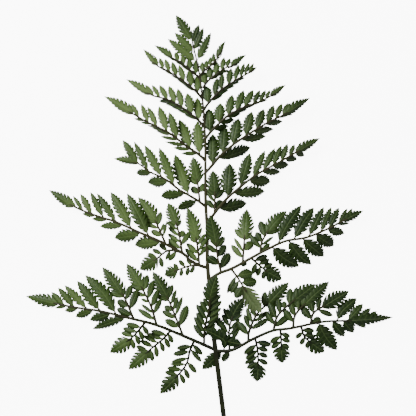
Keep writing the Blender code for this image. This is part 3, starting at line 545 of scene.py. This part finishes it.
def addSleeve(skin, way, shares, radius, sides, groove, grooveWidth, tone):
    # A closed round skin along a line, with a channel on its upper side
    turn = np.linspace(0, 2 * np.pi, sides, endpoint=False) + np.pi / sides
    channel = 1 - groove * np.exp(-((turn - np.pi / 2) / grooveWidth) ** 2)
    heading = way.heading(shares)
    left = unit(np.cross((0, 0, 1.0), heading))
    over = np.cross(heading, left)
    ring = left[:, None] * np.cos(turn)[:, None] + over[:, None] * np.sin(turn)[:, None]
    corners = way.place(shares)[:, None] + (radius[:, None] * channel)[..., None] * ring
    skin.add(corners, tubeFaces(len(shares), sides), 1, along=np.repeat(shares, sides),
             across=np.tile(np.sin(turn), len(shares)), tone=tone)


def radiusOf(key, length):
    start, slope = growth[key]
    return start + slope * length


def addTube(skin, way, form, radii, end, tone=0.0):
    sides, groove, rowLength = ribForms[form]
    shares = np.linspace(0, end, max(3, int(way.length * end / rowLength) + 2))
    radius = np.interp(shares, [0, end], radii)
    addSleeve(skin, way, shares, radius, sides, groove, growth["ribGrooveWidth"], tone)


def cutEdge(shape, width, tooth, cuts, count, offset):
    # The rows of a half blade, closer together where a tooth ends: the share of the length, the part of the
    # tooth and its number with that part, how much it is a lobe, the half width and the edge's share of it
    sizes = np.interp(np.linspace(0, 1, count + 1), (0, 0.5, 1), tooth)
    sizes[0] *= 1 - offset
    sizes *= [picks.uniform(*bladeSkin["toothChange"]) for _ in sizes]
    ends = np.concatenate([[0], np.cumsum(sizes)]) / sizes.sum()
    lobe = np.repeat(np.arange(len(sizes)), len(toothRows))
    part = np.tile(toothRows, len(sizes))
    t = np.append(ends[lobe] + part * (ends[lobe + 1] - ends[lobe]), 1.0)
    part = np.append(part, 0.0)
    phase = np.append(lobe, len(sizes)) + part

    rise, fall = shape["rise"], shape["fall"]
    peak = rise / (rise + fall)
    swell = t ** rise * (1 - t) ** fall / (peak ** rise * (1 - peak) ** fall)
    least, more = bladeSkin["leastHalf"]
    half = np.maximum(width / 2 * swell, least + more * (1 - t))
    cut = np.interp(t, (0.05, 0.5, 0.95), cuts)
    low, high = bladeSkin["lobed"]
    lobed = np.clip((cut - low) / (high - low), 0, 1)
    places = (*toothRows, 1)
    tip = (1 - lobed) * np.interp(part, places, toothReach) + lobed * np.interp(part, places, lobeReach)
    vary = np.array([picks.uniform(*bladeSkin["reachChange"]) for _ in range(len(sizes) + 1)])
    return t, part, phase, lobed, half, 1 - cut * (1 - tip * vary[np.floor(phase).astype(int)])


def bladeLift(t, part, lobed, v, w, reach):
    # How far the upper skin lies above the middle one, at the share v of the half width w
    skin = bladeSkin
    groove = -skin["grooveDepth"] * np.exp(-(reach / skin["grooveWidth"]) ** 2) * (1 - 0.6 * t[:, None])
    swell = np.sin(np.pi * part)[:, None] - 0.6
    lobePuff = skin["lobePuff"] * np.clip(w / 3, 0, 1.4) * swell * v * (0.35 + 0.65 * lobed[:, None])
    vein = -skin["veinDepth"] * np.exp(-((part - 0.5) / skin["veinWidth"]) ** 2)[:, None]
    vein = vein * np.sin(np.pi * v) * np.clip(w / 2, 0, 1)
    puff = skin["puff"] * w * np.sin(np.pi * v)
    curl = -skin["curl"] * w * (reach / w) ** 2
    return groove + lobePuff + vein + puff + curl


def addSheet(skin, upper, face, t, phase, v, reach, side, tone):
    # The upper skin, a lower one at its thickness, and the rim that closes them
    thin, thick = bladeSkin["rimThickness"], bladeSkin["thickness"]
    more, far = bladeSkin["ribThickness"]
    depth = thin + (thick - thin) * (1 - v ** 3)
    depth = depth + more * np.exp(-(reach / far) ** 2) * (1 - t[:, None])
    lower = upper - face[:, None] * depth[..., None]
    raised = np.maximum(growth["floorGap"] - lower[..., 2], 0)
    raised = raised + np.minimum(growth["ceiling"] - upper[..., 2], 0)
    upper[..., 2] += raised
    lower[..., 2] += raised

    rows, columns = reach.shape
    size = rows * columns
    index = np.arange(size).reshape(rows, columns)
    ring = np.concatenate([index[0, :-1], index[:-1, -1], index[-1, :0:-1], index[:0:-1, 0]])
    after = np.roll(ring, -1)
    rim = quads(ring, ring + size, after + size, after)
    grid = quads(index[:-1, :-1], index[:-1, 1:], index[1:, 1:], index[1:, :-1])
    faces = np.vstack([grid[:, ::-1], grid + size, rim])
    if side > 0:
        faces = faces[:, ::-1]
    skin.add(np.vstack([upper.reshape(-1, 3), lower.reshape(-1, 3)]), faces, 0,
             along=np.tile(np.repeat(t, columns), 2), across=np.tile(np.tile(v[0], rows), 2),
             offRib=np.tile(reach.ravel(), 2), phase=np.tile(np.repeat(phase, columns), 2), tone=tone,
             under=np.repeat([0.0, 1.0], size))


def addBlade(skin, way, start, normal, width, form, tone, turn=0.0, hang=(0, 0)):
    # Two halves, one on each side of the midrib, each a closed sheet of its own
    shape = bladeForms[form]
    length = way.length * (1 - start)
    low, high = shape["size"]
    size = min(max((length - low) / (high - low), 0), 1)
    small, large = np.array(shape["small"]), np.array(shape["large"])
    tooth, cuts = small + (large - small) * size
    count = max(3, round(length / (sum(tooth) / 3)))
    v = np.array(bladeSkin["across" if width > bladeSkin["smallWidth"] else "acrossSmall"])[None, :]
    waves, shift = picks.uniform(0.6, 1.1), picks.random()
    first = picks.choice((1, -1))
    for side, fold in zip((1, -1), hang):
        offset = 0.5 if side == first else 0.0
        t, part, phase, lobed, half, edge = cutEdge(shape, width, tooth, cuts, count, offset)
        shares = start + (1 - start) * t
        middle = way.place(shares)
        heading = way.heading(shares)
        normals = np.broadcast_to(np.array(normal, float), middle.shape)
        normals = unit(normals - heading * (normals * heading).sum(axis=1, keepdims=True))
        roll = math.radians(turn) + bladeSkin["wave"] * np.sin(2 * np.pi * (waves * t + shift))
        left = unit(np.cross(normals, heading))
        face = normals * np.cos(roll)[:, None] - left * np.sin(roll)[:, None]
        out = side * unit(np.cross(face, heading))
        middle = middle + face * (growth["arch"] * length * 4 * t * (1 - t))[:, None]
        fold = math.radians(fold + growth["keel"])
        cosine, sine = math.cos(fold), math.sin(fold)
        out, face = out * cosine - face * sine, face * cosine + out * sine

        w = half[:, None]
        reach = v * w * edge[:, None]
        forward = shape["lean"] * reach * (0.8 + 0.3 * v) * (1 - t[:, None]) ** 0.3
        lift = bladeLift(t, part, lobed, v, w, reach)
        upper = (middle[:, None] + out[:, None] * reach[..., None] + heading[:, None] * forward[..., None]
                 + face[:, None] * lift[..., None])
        addSheet(skin, upper, face, t, phase, v, reach, side, tone)


def onStalk(x, y):
    # The middle of the stalk, whose height goes smoothly from one given height to the next
    ys, zs = zip(*stalk["heights"])
    k = max(0, min(np.searchsorted(ys, y) - 1, len(ys) - 2))
    t = (min(max(y, ys[0]), ys[-1]) - ys[k]) / (ys[k + 1] - ys[k])
    return np.array([x, y, zs[k] + (zs[k + 1] - zs[k]) * t * t * (3 - 2 * t)])


def archedWay(plan, root, crest, low):
    flat = np.array([(x, y, 0) for x, y in plan], float)
    ways = np.concatenate([[0], np.cumsum(np.linalg.norm(np.diff(flat, axis=0), axis=1))])
    t = ways / ways[-1]
    crestShare = growth["crestShare"]
    rising = root + (crest - root) * np.sin(np.pi / 2 * np.minimum(t / crestShare, 1))
    falling = low + (crest - low) * np.cos(np.pi / 2 * np.clip((t - crestShare) / (1 - crestShare), 0, 1))
    flat[:, 2] = np.where(t < crestShare, rising, falling)
    return Way(flat)


def clearOfFloor(z):
    return max(z, bladeSkin["thickness"] + growth["floorGap"])


def inPlane(foot, normal, places):
    # Places at the height of the plane through the foot, drooping outwards
    found = []
    for x, y in places:
        dx, dy = x - foot[0], y - foot[1]
        z = foot[2] - (normal[0] * dx + normal[1] * dy) / normal[2] - growth["droop"] * math.hypot(dx, dy)
        found.append((x, y, clearOfFloor(z)))
    return found


def hungPlane(normal, heading, side, fold):
    outward = unit(np.cross(normal, heading)) * side
    angle = math.radians(fold)
    return unit(outward * math.sin(angle) + np.array(normal) * math.cos(angle))


def sideOf(way, share, tip):
    along = way.heading(share)
    out = np.array(tip[:2]) - way.place(share)[:2]
    return 1 if along[0] * out[1] - along[1] * out[0] > 0 else -1


def roomsBetween(ways):
    # For each line, the nearest that its middle comes to one beside it
    found = []
    for k, way in enumerate(ways):
        others = [other.place(np.linspace(0, 1, 21)) for other in ways[max(0, k - 1):k] + ways[k + 1:k + 2]]
        gaps = [np.linalg.norm(way.place(0.5) - places, axis=1).min() for places in others]
        found.append(min(gaps, default=100))
    return found


def widthOf(form, length):
    start, slope, most = bladeWidths[form]
    return min(start + slope * length, most)


def neckShare(way, heading, ribRadius, width):
    # The share of a leaflet's length that is its stalk
    cosine = abs(float((way.heading(0.1) * heading).sum()))
    angle = max(0.35, math.acos(min(cosine, 1)))
    neck = (ribRadius + 0.25 + width * 0.08 * math.cos(angle)) / math.sin(angle)
    return min(growth["longestStalk"], neck / way.length)


def addLeaflet(skin, way, plane, width, form, tone, ribRadius, heading):
    neck = neckShare(way, heading, ribRadius, width)
    radius = radiusOf("stemRadius", way.length)
    addBlade(skin, way, neck, plane, width, form, tone)
    stem = Way(way.place(np.linspace(0, 1, 12)) - np.array(plane) * radius * 0.9, smooth=False)
    addTube(skin, stem, "stem", (radius, radius * 0.4), min(1, neck + growth["stemEnd"]), tone)


def leafletsBetween(way, feet, end, angle, form):
    # Leaflets where the table gives none, at even steps along both sides of a spray
    rules = sprayRules
    step = form["step"] / way.length
    usual = min(form["share"] * way.length, form["longest"])
    found = []
    for side, steps in zip((1, -1), rules["firstSteps"]):
        taken = [(share, math.dist(place, way.place(share)[:2])) for share, own, place in feet if own == side]
        taken.sort()
        for share in np.arange(max(steps * step, rules["leastShare"]), end, step):
            reach = usual
            if form["even"] and taken:
                reach = max(rules["evenLength"] * np.interp(share, *zip(*taken)), rules["evenLeast"] * usual)
                reach = min(reach, form["longest"])
            elif min((abs(share - other) for other, _ in taken), default=1) < rules["clearSteps"] * step:
                continue
            along = way.heading(share)[:2]
            turn = side * math.radians(angle + change("angleChange"))
            out = (along[0] * math.cos(turn) - along[1] * math.sin(turn),
                   along[0] * math.sin(turn) + along[1] * math.cos(turn))
            foot = way.place(share)
            size = reach * (1 - 0.25 * share) * picks.uniform(0.9, 1.06)
            found.append((float(share), side, (foot[0] + out[0] * size, foot[1] + out[1] * size)))
    return found


def addSpray(skin, way, plane, tips, angle, tone, wishes, form):
    # A leaflet with leaflets of its own, and a lobed blade at its end
    feet = []
    for place in tips:
        target = np.array([*place, way.place(0)[2]])
        share = way.shareOfFoot(target, angle)
        feet.append((share, sideOf(way, share, target), place))
    plane = unit(np.array(plane) * (1 - form["level"]) + (0, 0, form["level"]))
    first, last = form["ends"]
    end = min(max([first] + [foot[0] + sprayRules["margin"] for foot in feet]), last)
    more = leafletsBetween(way, feet, end, angle, form)
    feet = more if form["even"] else feet + more
    rib = radiusOf("sprayRibRadius", way.length)
    before, beyond = growth["sprayEnd"]
    rest = way.rest(end - before)
    width = widthOf(form["tip"], rest.length) * wishes["wide"]
    for side in (1, -1):
        row = []
        for share, own, place in sorted(feet):
            if own != side or share > end + sprayRules["margin"]:
                continue
            foot = way.place(share)
            fold = growth["leafletFold"] + change("foldChange")
            hang = hungPlane(plane, way.heading(share), side, fold)
            row.append((share, hang, Way([foot] + inPlane(foot, hang, [place]))))
        rooms = roomsBetween([leaflet[2] for leaflet in row] + [rest])
        for (share, hang, own), room in zip(row, rooms):
            ownToneAndLighting = tone + change("toneChange")
            ownWidth = wishes["wide"] * min(widthOf(form["leaflet"], own.length), growth["roomUsed"] * room)
            if ownWidth > growth["leastWidth"] * own.length:
                addLeaflet(skin, own, hang, ownWidth, form["leaflet"], ownToneAndLighting, rib, way.heading(share))
    addTube(skin, way, "sprayRib", (rib, rib * 0.7), end + beyond, tone)
    addBlade(skin, rest, 0, plane, width, form["tip"], tone, wishes.get("turn", 0))


Leaflet = namedtuple("Leaflet", "side share plane course tips wishes")


def filledOut(way, row):
    # One more simple leaflet wherever two of them leave a wide gap
    found = []
    for first, second in zip(row, row[1:]):
        found.append(first)
        if (second.share - first.share) * way.length < growth["widestGap"] or first.tips or second.tips:
            continue
        share = (first.share + second.share) / 2
        foot = way.place(share)
        one, two = first.course, second.course
        tip = foot + (one.place(1) - one.place(0) + two.place(1) - two.place(0)) / 2
        tip[2] = clearOfFloor(tip[2])
        found.append(Leaflet(first.side, share, first.plane, Way([foot, tip]), [], first.wishes))
    return found + row[-1:]


def growPinna(name, leaf, materials):
    skin = Skin("pinna" + name[0].upper() + name[1:])
    leaf = {**usualPinna, **leaf}
    way = archedWay(leaf["course"], onStalk(*leaf["course"][0])[2], leaf["crest"], leaf["low"])
    end = way.shareAtX(leaf["course"][-2][0])
    rib = radiusOf("ribRadius", way.length)
    up = (0.0, 0.0, 1.0)
    before, beyond = growth["pinnaEnd"]
    rest = way.rest(end - before)
    fullness = growth["fullness"]["left" if name.startswith("left") else "right"]
    for key, fold, tone in zip(("upper", "lower"), leaf["fold"], leaf["tone"]):
        row = []
        for foot, x, y, *more in leaf[key]:
            via, tips, wishes = *more, *([], [], {})[len(more):]
            wishes = {**wishes, "wide": wishes.get("wide", 1) * fullness}
            share = way.shareAtX(foot)
            side = sideOf(way, share, (x, y))
            hang = fold + change("foldChange")
            plane = hungPlane(up, way.heading(share), side, -wishes["lift"] if "lift" in wishes else hang)
            start = way.place(share)
            course = Way([start] + inPlane(start, plane, via + [(x, y)]))
            row.append(Leaflet(side, share, plane, course, tips, wishes))
        for side in (1, -1):
            own = sorted((leaflet for leaflet in row if leaflet.side == side), key=lambda item: item.share)
            if fold > growth["fringeFold"]:
                own = filledOut(way, own)
            rooms = roomsBetween([leaflet.course for leaflet in own] + [rest])
            for (_, share, plane, course, tips, wishes), room in zip(own, rooms):
                ownToneAndLighting = tone + wishes.get("tone", 0) + change("toneChange")
                if tips:
                    form = sprayForms[wishes.get("form", key)]
                    addSpray(skin, course, plane, tips, growth["angles"][key], ownToneAndLighting, wishes, form)
                    continue
                width = wishes["wide"] * min(widthOf("pinnule", course.length), growth["roomUsed"] * room)
                ribRadius = rib * (1 - share / 2)
                addLeaflet(skin, course, plane, width, "pinnule", ownToneAndLighting, ribRadius, way.heading(share))
    addTube(skin, way, "rib", (rib, rib * 0.5), min(1, end + beyond), sum(leaf["tone"]) / 2)
    low = 0.7 * leaf["fold"][1]
    hang = (low, 0) if name.startswith("left") else (0, low)
    addBlade(skin, rest, 0, up, widthOf("pinnaTip", rest.length), "pinnaTip", leaf["tone"][0], hang=hang)
    return skin.piece(materials)


def growStalk(materials):
    skin = Skin("stalk")
    (x0, y0), (x1, y1) = stalk["places"][:2]
    foot = (x0 + (x0 - x1) / (y0 - y1) * (-stalk["stipeLength"] - y0), -stalk["stipeLength"])
    middle = ((foot[0] + x0) / 2, (foot[1] + y0) / 2)
    way = Way([onStalk(x, y) for x, y in [foot, middle] + stalk["places"]])
    shares = np.linspace(0, 1, int(way.length / stalk["rowLength"]))
    taper = np.clip(way.place(shares)[:, 1] / stalk["places"][-1][1], 0, 1)
    radius = stalk["stipeRadius"] + (stalk["endRadius"] - stalk["stipeRadius"]) * taper
    addSleeve(skin, way, shares, radius, stalk["sides"], stalk["groove"], stalk["grooveWidth"], 0)
    return skin.piece(materials)


def growTop(materials):
    skin = Skin("topBlades")
    for foot, tip, width, tone in topBlades:
        base = onStalk(*foot)
        way = Way([base, (*tip, base[2] + 0.5)])
        addBlade(skin, way, 0.06, (0, 0, 1), width, "topBlade", tone)
        addTube(skin, Way(way.points - (0, 0, 0.25), smooth=False), "topStem", (0.35, 0.15), 0.6)
    return skin.piece(materials)


def newGroup(name, inputs, outputs):
    tree = bpy.data.node_groups.new(name, "ShaderNodeTree")
    for label, value in inputs.items():
        socket = tree.interface.new_socket(label, in_out="INPUT", socket_type="NodeSocketFloat")
        socket.default_value = value
    for label in outputs:
        tree.interface.new_socket(label, in_out="OUTPUT", socket_type="NodeSocketFloat")
    return tree, tree.nodes.new("NodeGroupInput").outputs, tree.nodes.new("NodeGroupOutput")


def addRange(tree, value, low, high, outLow=0.0, outHigh=1.0):
    node = tree.nodes.new("ShaderNodeMapRange")
    node.interpolation_type = "SMOOTHSTEP"
    feed(tree, node, Value=value, From_Min=low, From_Max=high, To_Min=outLow, To_Max=outHigh)
    return node.outputs["Result"]


def addNoise(tree, vector, scale, detail):
    noise = tree.nodes.new("ShaderNodeTexNoise")
    feed(tree, noise, Vector=vector, Scale=scale, Detail=detail)
    return noise.outputs["Fac"]


def mixColour(tree, factor, first, second):
    node = tree.nodes.new("ShaderNodeMix")
    node.data_type = "RGBA"
    feed(tree, node, Factor=factor, A=first, B=second)
    return node.outputs["Result"]


def times(tree, first, second):
    return addMath(tree, "MULTIPLY", first, second)


def tinted(tree, body, mask, share, colour):
    return mixColour(tree, times(tree, mask, share), body, colour)


def makeMottle():
    # Uneven growth: a broad patchiness and a fine grain, both from 0 to 1
    inputs = {"Patch Scale": 45, "Grain Scale": 700}
    tree, given, made = newGroup("plantMottle", inputs, ["Patches", "Grain"])
    place = tree.nodes.new("ShaderNodeTexCoord").outputs["Object"]
    patches = addNoise(tree, place, given["Patch Scale"], 2.0)
    grain = addNoise(tree, place, given["Grain Scale"], 4.0)
    feed(tree, made, Patches=addRange(tree, patches, 0.3, 0.7), Grain=addRange(tree, grain, 0.25, 0.75))
    return tree


# Each range is where a mark begins and is full, or is full and ends where it goes from 1 to 0
veinRanges = {
    "fade": (0.55, 0.95, 1.0, 0.0),
    "midrib": (0.12, 0.4, 1.0, 0.0),
    "edge": (0.5, 1.0),
    # where the painted shade in the clefts between teeth lies
    "cleftPart": (0.34, 0.47),
    "cleftAcross": (0.3, 0.8),
}


def makeVeins():
    # Side veins that run from the middle of a blade to its teeth, the midrib's groove, the edge, and the
    # clefts between teeth, where painted shade goes
    inputs = {"Phase": 0, "Across": 0, "Off Rib": 0, "Thinness": 0.13}
    tree, given, made = newGroup("bladeVeins", inputs, ["Side Veins", "Midrib", "Edge", "Clefts"])
    part = addMath(tree, "FRACT", given["Phase"])
    off = addMath(tree, "ABSOLUTE", addMath(tree, "SUBTRACT", part, 0.5))
    far = addMath(tree, "DIVIDE", off, given["Thinness"])
    nearness = addMath(tree, "SUBTRACT", 1.0, far, clamp=True)
    across = given["Across"]
    feed(tree, made,
         Side_Veins=times(tree, nearness, addRange(tree, across, *veinRanges["fade"])),
         Midrib=addRange(tree, given["Off Rib"], *veinRanges["midrib"]),
         Edge=addRange(tree, across, *veinRanges["edge"]),
         Clefts=times(tree, addRange(tree, off, *veinRanges["cleftPart"]),
                      addRange(tree, across, *veinRanges["cleftAcross"])))
    return tree


def addGroup(tree, group, **values):
    node = tree.nodes.new("ShaderNodeGroup")
    node.node_tree = group
    feed(tree, node, **values)
    return node.outputs


def surfaceValue(tree, key):
    node = tree.nodes.new("ShaderNodeAttribute")
    node.attribute_name = key
    return node.outputs["Fac"]


def finishPaint(tree, shader, body, grain, height, colours):
    # Roughness from the grain, and a small bump
    bump = tree.nodes.new("ShaderNodeBump")
    strength, distance = colours["bump"]
    feed(tree, bump, Strength=strength, Distance=distance, Height=height)
    feed(tree, shader, Base_Color=body, Roughness=addRange(tree, grain, 0.0, 1.0, *colours["roughness"]),
         Specular_IOR_Level=colours["specular"], Normal=bump.outputs["Normal"])


leafPaint = {
    "dark": (0.006, 0.022, 0.0008),
    "middle": (0.022, 0.06, 0.002),
    "light": (0.094, 0.165, 0.034),
    # pale veins and midrib, and the painted sheen on the middle of each blade
    "paleVeinsAndSheen": (0.19, 0.27, 0.09),
    # painted shade along the edge of each blade
    "rim": (0.022, 0.056, 0.002),
    "under": (0.13, 0.175, 0.07),
    "underVein": (0.19, 0.23, 0.11),
    "mottle": {"Patch_Scale": 40, "Grain_Scale": 900},
    "patchShare": 0.28,  # of the patches in the lightness, beside the tone
    "tones": (-0.35, 1.05),  # the darkest and the lightest
    # from where to where along the blade, and how much of the colour there is at both: painted sheen on the
    # middle of a blade, then painted shade along its edge
    "sheenAlong": (0.1, 0.9, 0.6, 0.16),
    "rimShade": (0.0, 1.0, 0.34, 0.66),
    # what shows on the upper side, how much of it, and its colour; the dark in the clefts is painted shade
    "marks": [("Side Veins", 0.2, "paleVeinsAndSheen"), ("Midrib", 0.35, "paleVeinsAndSheen"), ("Grain", 0.18, "dark"),
              ("Clefts", 0.8, "dark")],
    "underPatches": 0.4,
    "roughness": (0.42, 0.58),
    "specular": 0.28,
    "bump": (0.35, 0.00012),
    "veinBump": -0.6,
}


def makeLeafMaterial(mottle, veins):
    look = leafPaint
    paint, tree, shader = newPaint("fernLeaf")
    spots = addGroup(tree, mottle, **look["mottle"])
    lines = addGroup(tree, veins, Phase=surfaceValue(tree, "phase"), Across=surfaceValue(tree, "across"),
                     Off_Rib=surfaceValue(tree, "offRib"))
    masks = dict(spots.items() + lines.items())
    # lightness of each blade: its own tone, plus painted sheen on the left of the frond and painted shade on
    # the right
    tone = surfaceValue(tree, "tone")
    patchy = addMath(tree, "MULTIPLY_ADD", masks["Patches"], look["patchShare"], tone)
    lightness = addRange(tree, patchy, *look["tones"])
    doubled = addMath(tree, "MULTIPLY", lightness, 2.0, clamp=True)
    first = mixColour(tree, doubled, look["dark"], look["middle"])
    body = mixColour(tree, addRange(tree, lightness, 0.4, 1.0), first, look["light"])
    # painted sheen: the middle of each blade lighter, most near its foot and on light blades
    sheenMask = times(tree, addMath(tree, "SUBTRACT", 1.0, masks["Edge"]), lightness)
    along = surfaceValue(tree, "along")
    body = tinted(tree, body, sheenMask, addRange(tree, along, *look["sheenAlong"]), look["paleVeinsAndSheen"])
    # painted shade: each blade darker along its edge, more towards its tip
    rimShadeAlong = addRange(tree, along, *look["rimShade"])
    body = tinted(tree, body, masks["Edge"], rimShadeAlong, look["rim"])
    for label, share, colour in look["marks"]:
        body = tinted(tree, body, masks[label], share, look[colour])
    back = mixColour(tree, masks["Side Veins"], look["under"], look["underVein"])
    back = tinted(tree, back, masks["Patches"], look["underPatches"], look["middle"])
    body = mixColour(tree, surfaceValue(tree, "under"), body, back)
    height = addMath(tree, "MULTIPLY_ADD", masks["Side Veins"], look["veinBump"], masks["Grain"])
    finishPaint(tree, shader, body, masks["Grain"], height, look)
    return paint


stalkPaint = {
    "stipe": (0.004, 0.007, 0.0005),
    "rachis": (0.036, 0.037, 0.012),
    "tan": (0.078, 0.07, 0.028),
    "top": (0.012, 0.014, 0.005),
    "green": (0.024, 0.036, 0.007),
    "mottle": {"Patch_Scale": 90, "Grain_Scale": 1600},
    "patchShare": 0.6,  # of green
    "grainShare": 0.25,  # of the stipe's colour
    "roughness": (0.4, 0.62),
    "specular": 0.25,
    "bump": (0.4, 0.0001),
    # places up the frond where one colour gives way to the next
    "stipeToRachis": (-70, 0),
    "rachisToTop": (95, 125),
    "ridge": (0.05, 0.35),  # how much tan there is on the upper side, on the stipe and on the rachis
    "upper": (0.2, 0.75),  # how far up its side the tan begins and is full
}


def makeStalkMaterial(mottle):
    paint, tree, shader = newPaint("fernStalk")
    spots = addGroup(tree, mottle, **stalkPaint["mottle"])
    split = tree.nodes.new("ShaderNodeSeparateXYZ")
    feed(tree, split, Vector=tree.nodes.new("ShaderNodeTexCoord").outputs["Object"])
    y = split.outputs["Y"]
    low, high = (place * mm for place in stalkPaint["rachisToTop"])
    lowest, lower = (place * mm for place in stalkPaint["stipeToRachis"])
    body = mixColour(tree, addRange(tree, y, lowest, lower), stalkPaint["stipe"], stalkPaint["rachis"])
    body = tinted(tree, body, spots["Patches"], stalkPaint["patchShare"], stalkPaint["green"])
    body = mixColour(tree, addRange(tree, y, low, high), body, stalkPaint["top"])
    paler = addRange(tree, y, lowest, lower, *stalkPaint["ridge"])
    upper = addRange(tree, surfaceValue(tree, "across"), *stalkPaint["upper"])
    body = tinted(tree, body, upper, paler, stalkPaint["tan"])
    body = tinted(tree, body, spots["Grain"], stalkPaint["grainShare"], stalkPaint["stipe"])
    finishPaint(tree, shader, body, spots["Grain"], spots["Grain"], stalkPaint)
    return paint


mottleGroup = makeMottle()
frondMaterials = [makeLeafMaterial(mottleGroup, makeVeins()), makeStalkMaterial(mottleGroup)]
print("materials are made")

growStalk(frondMaterials)
print("stalk is grown")
for pinnaName, pinnaLeaf in pinnae.items():
    grown = growPinna(pinnaName, pinnaLeaf, frondMaterials)
    print(pinnaName, "has", len(grown.data.polygons), "faces")
growTop(frondMaterials)
print("top blades are grown")
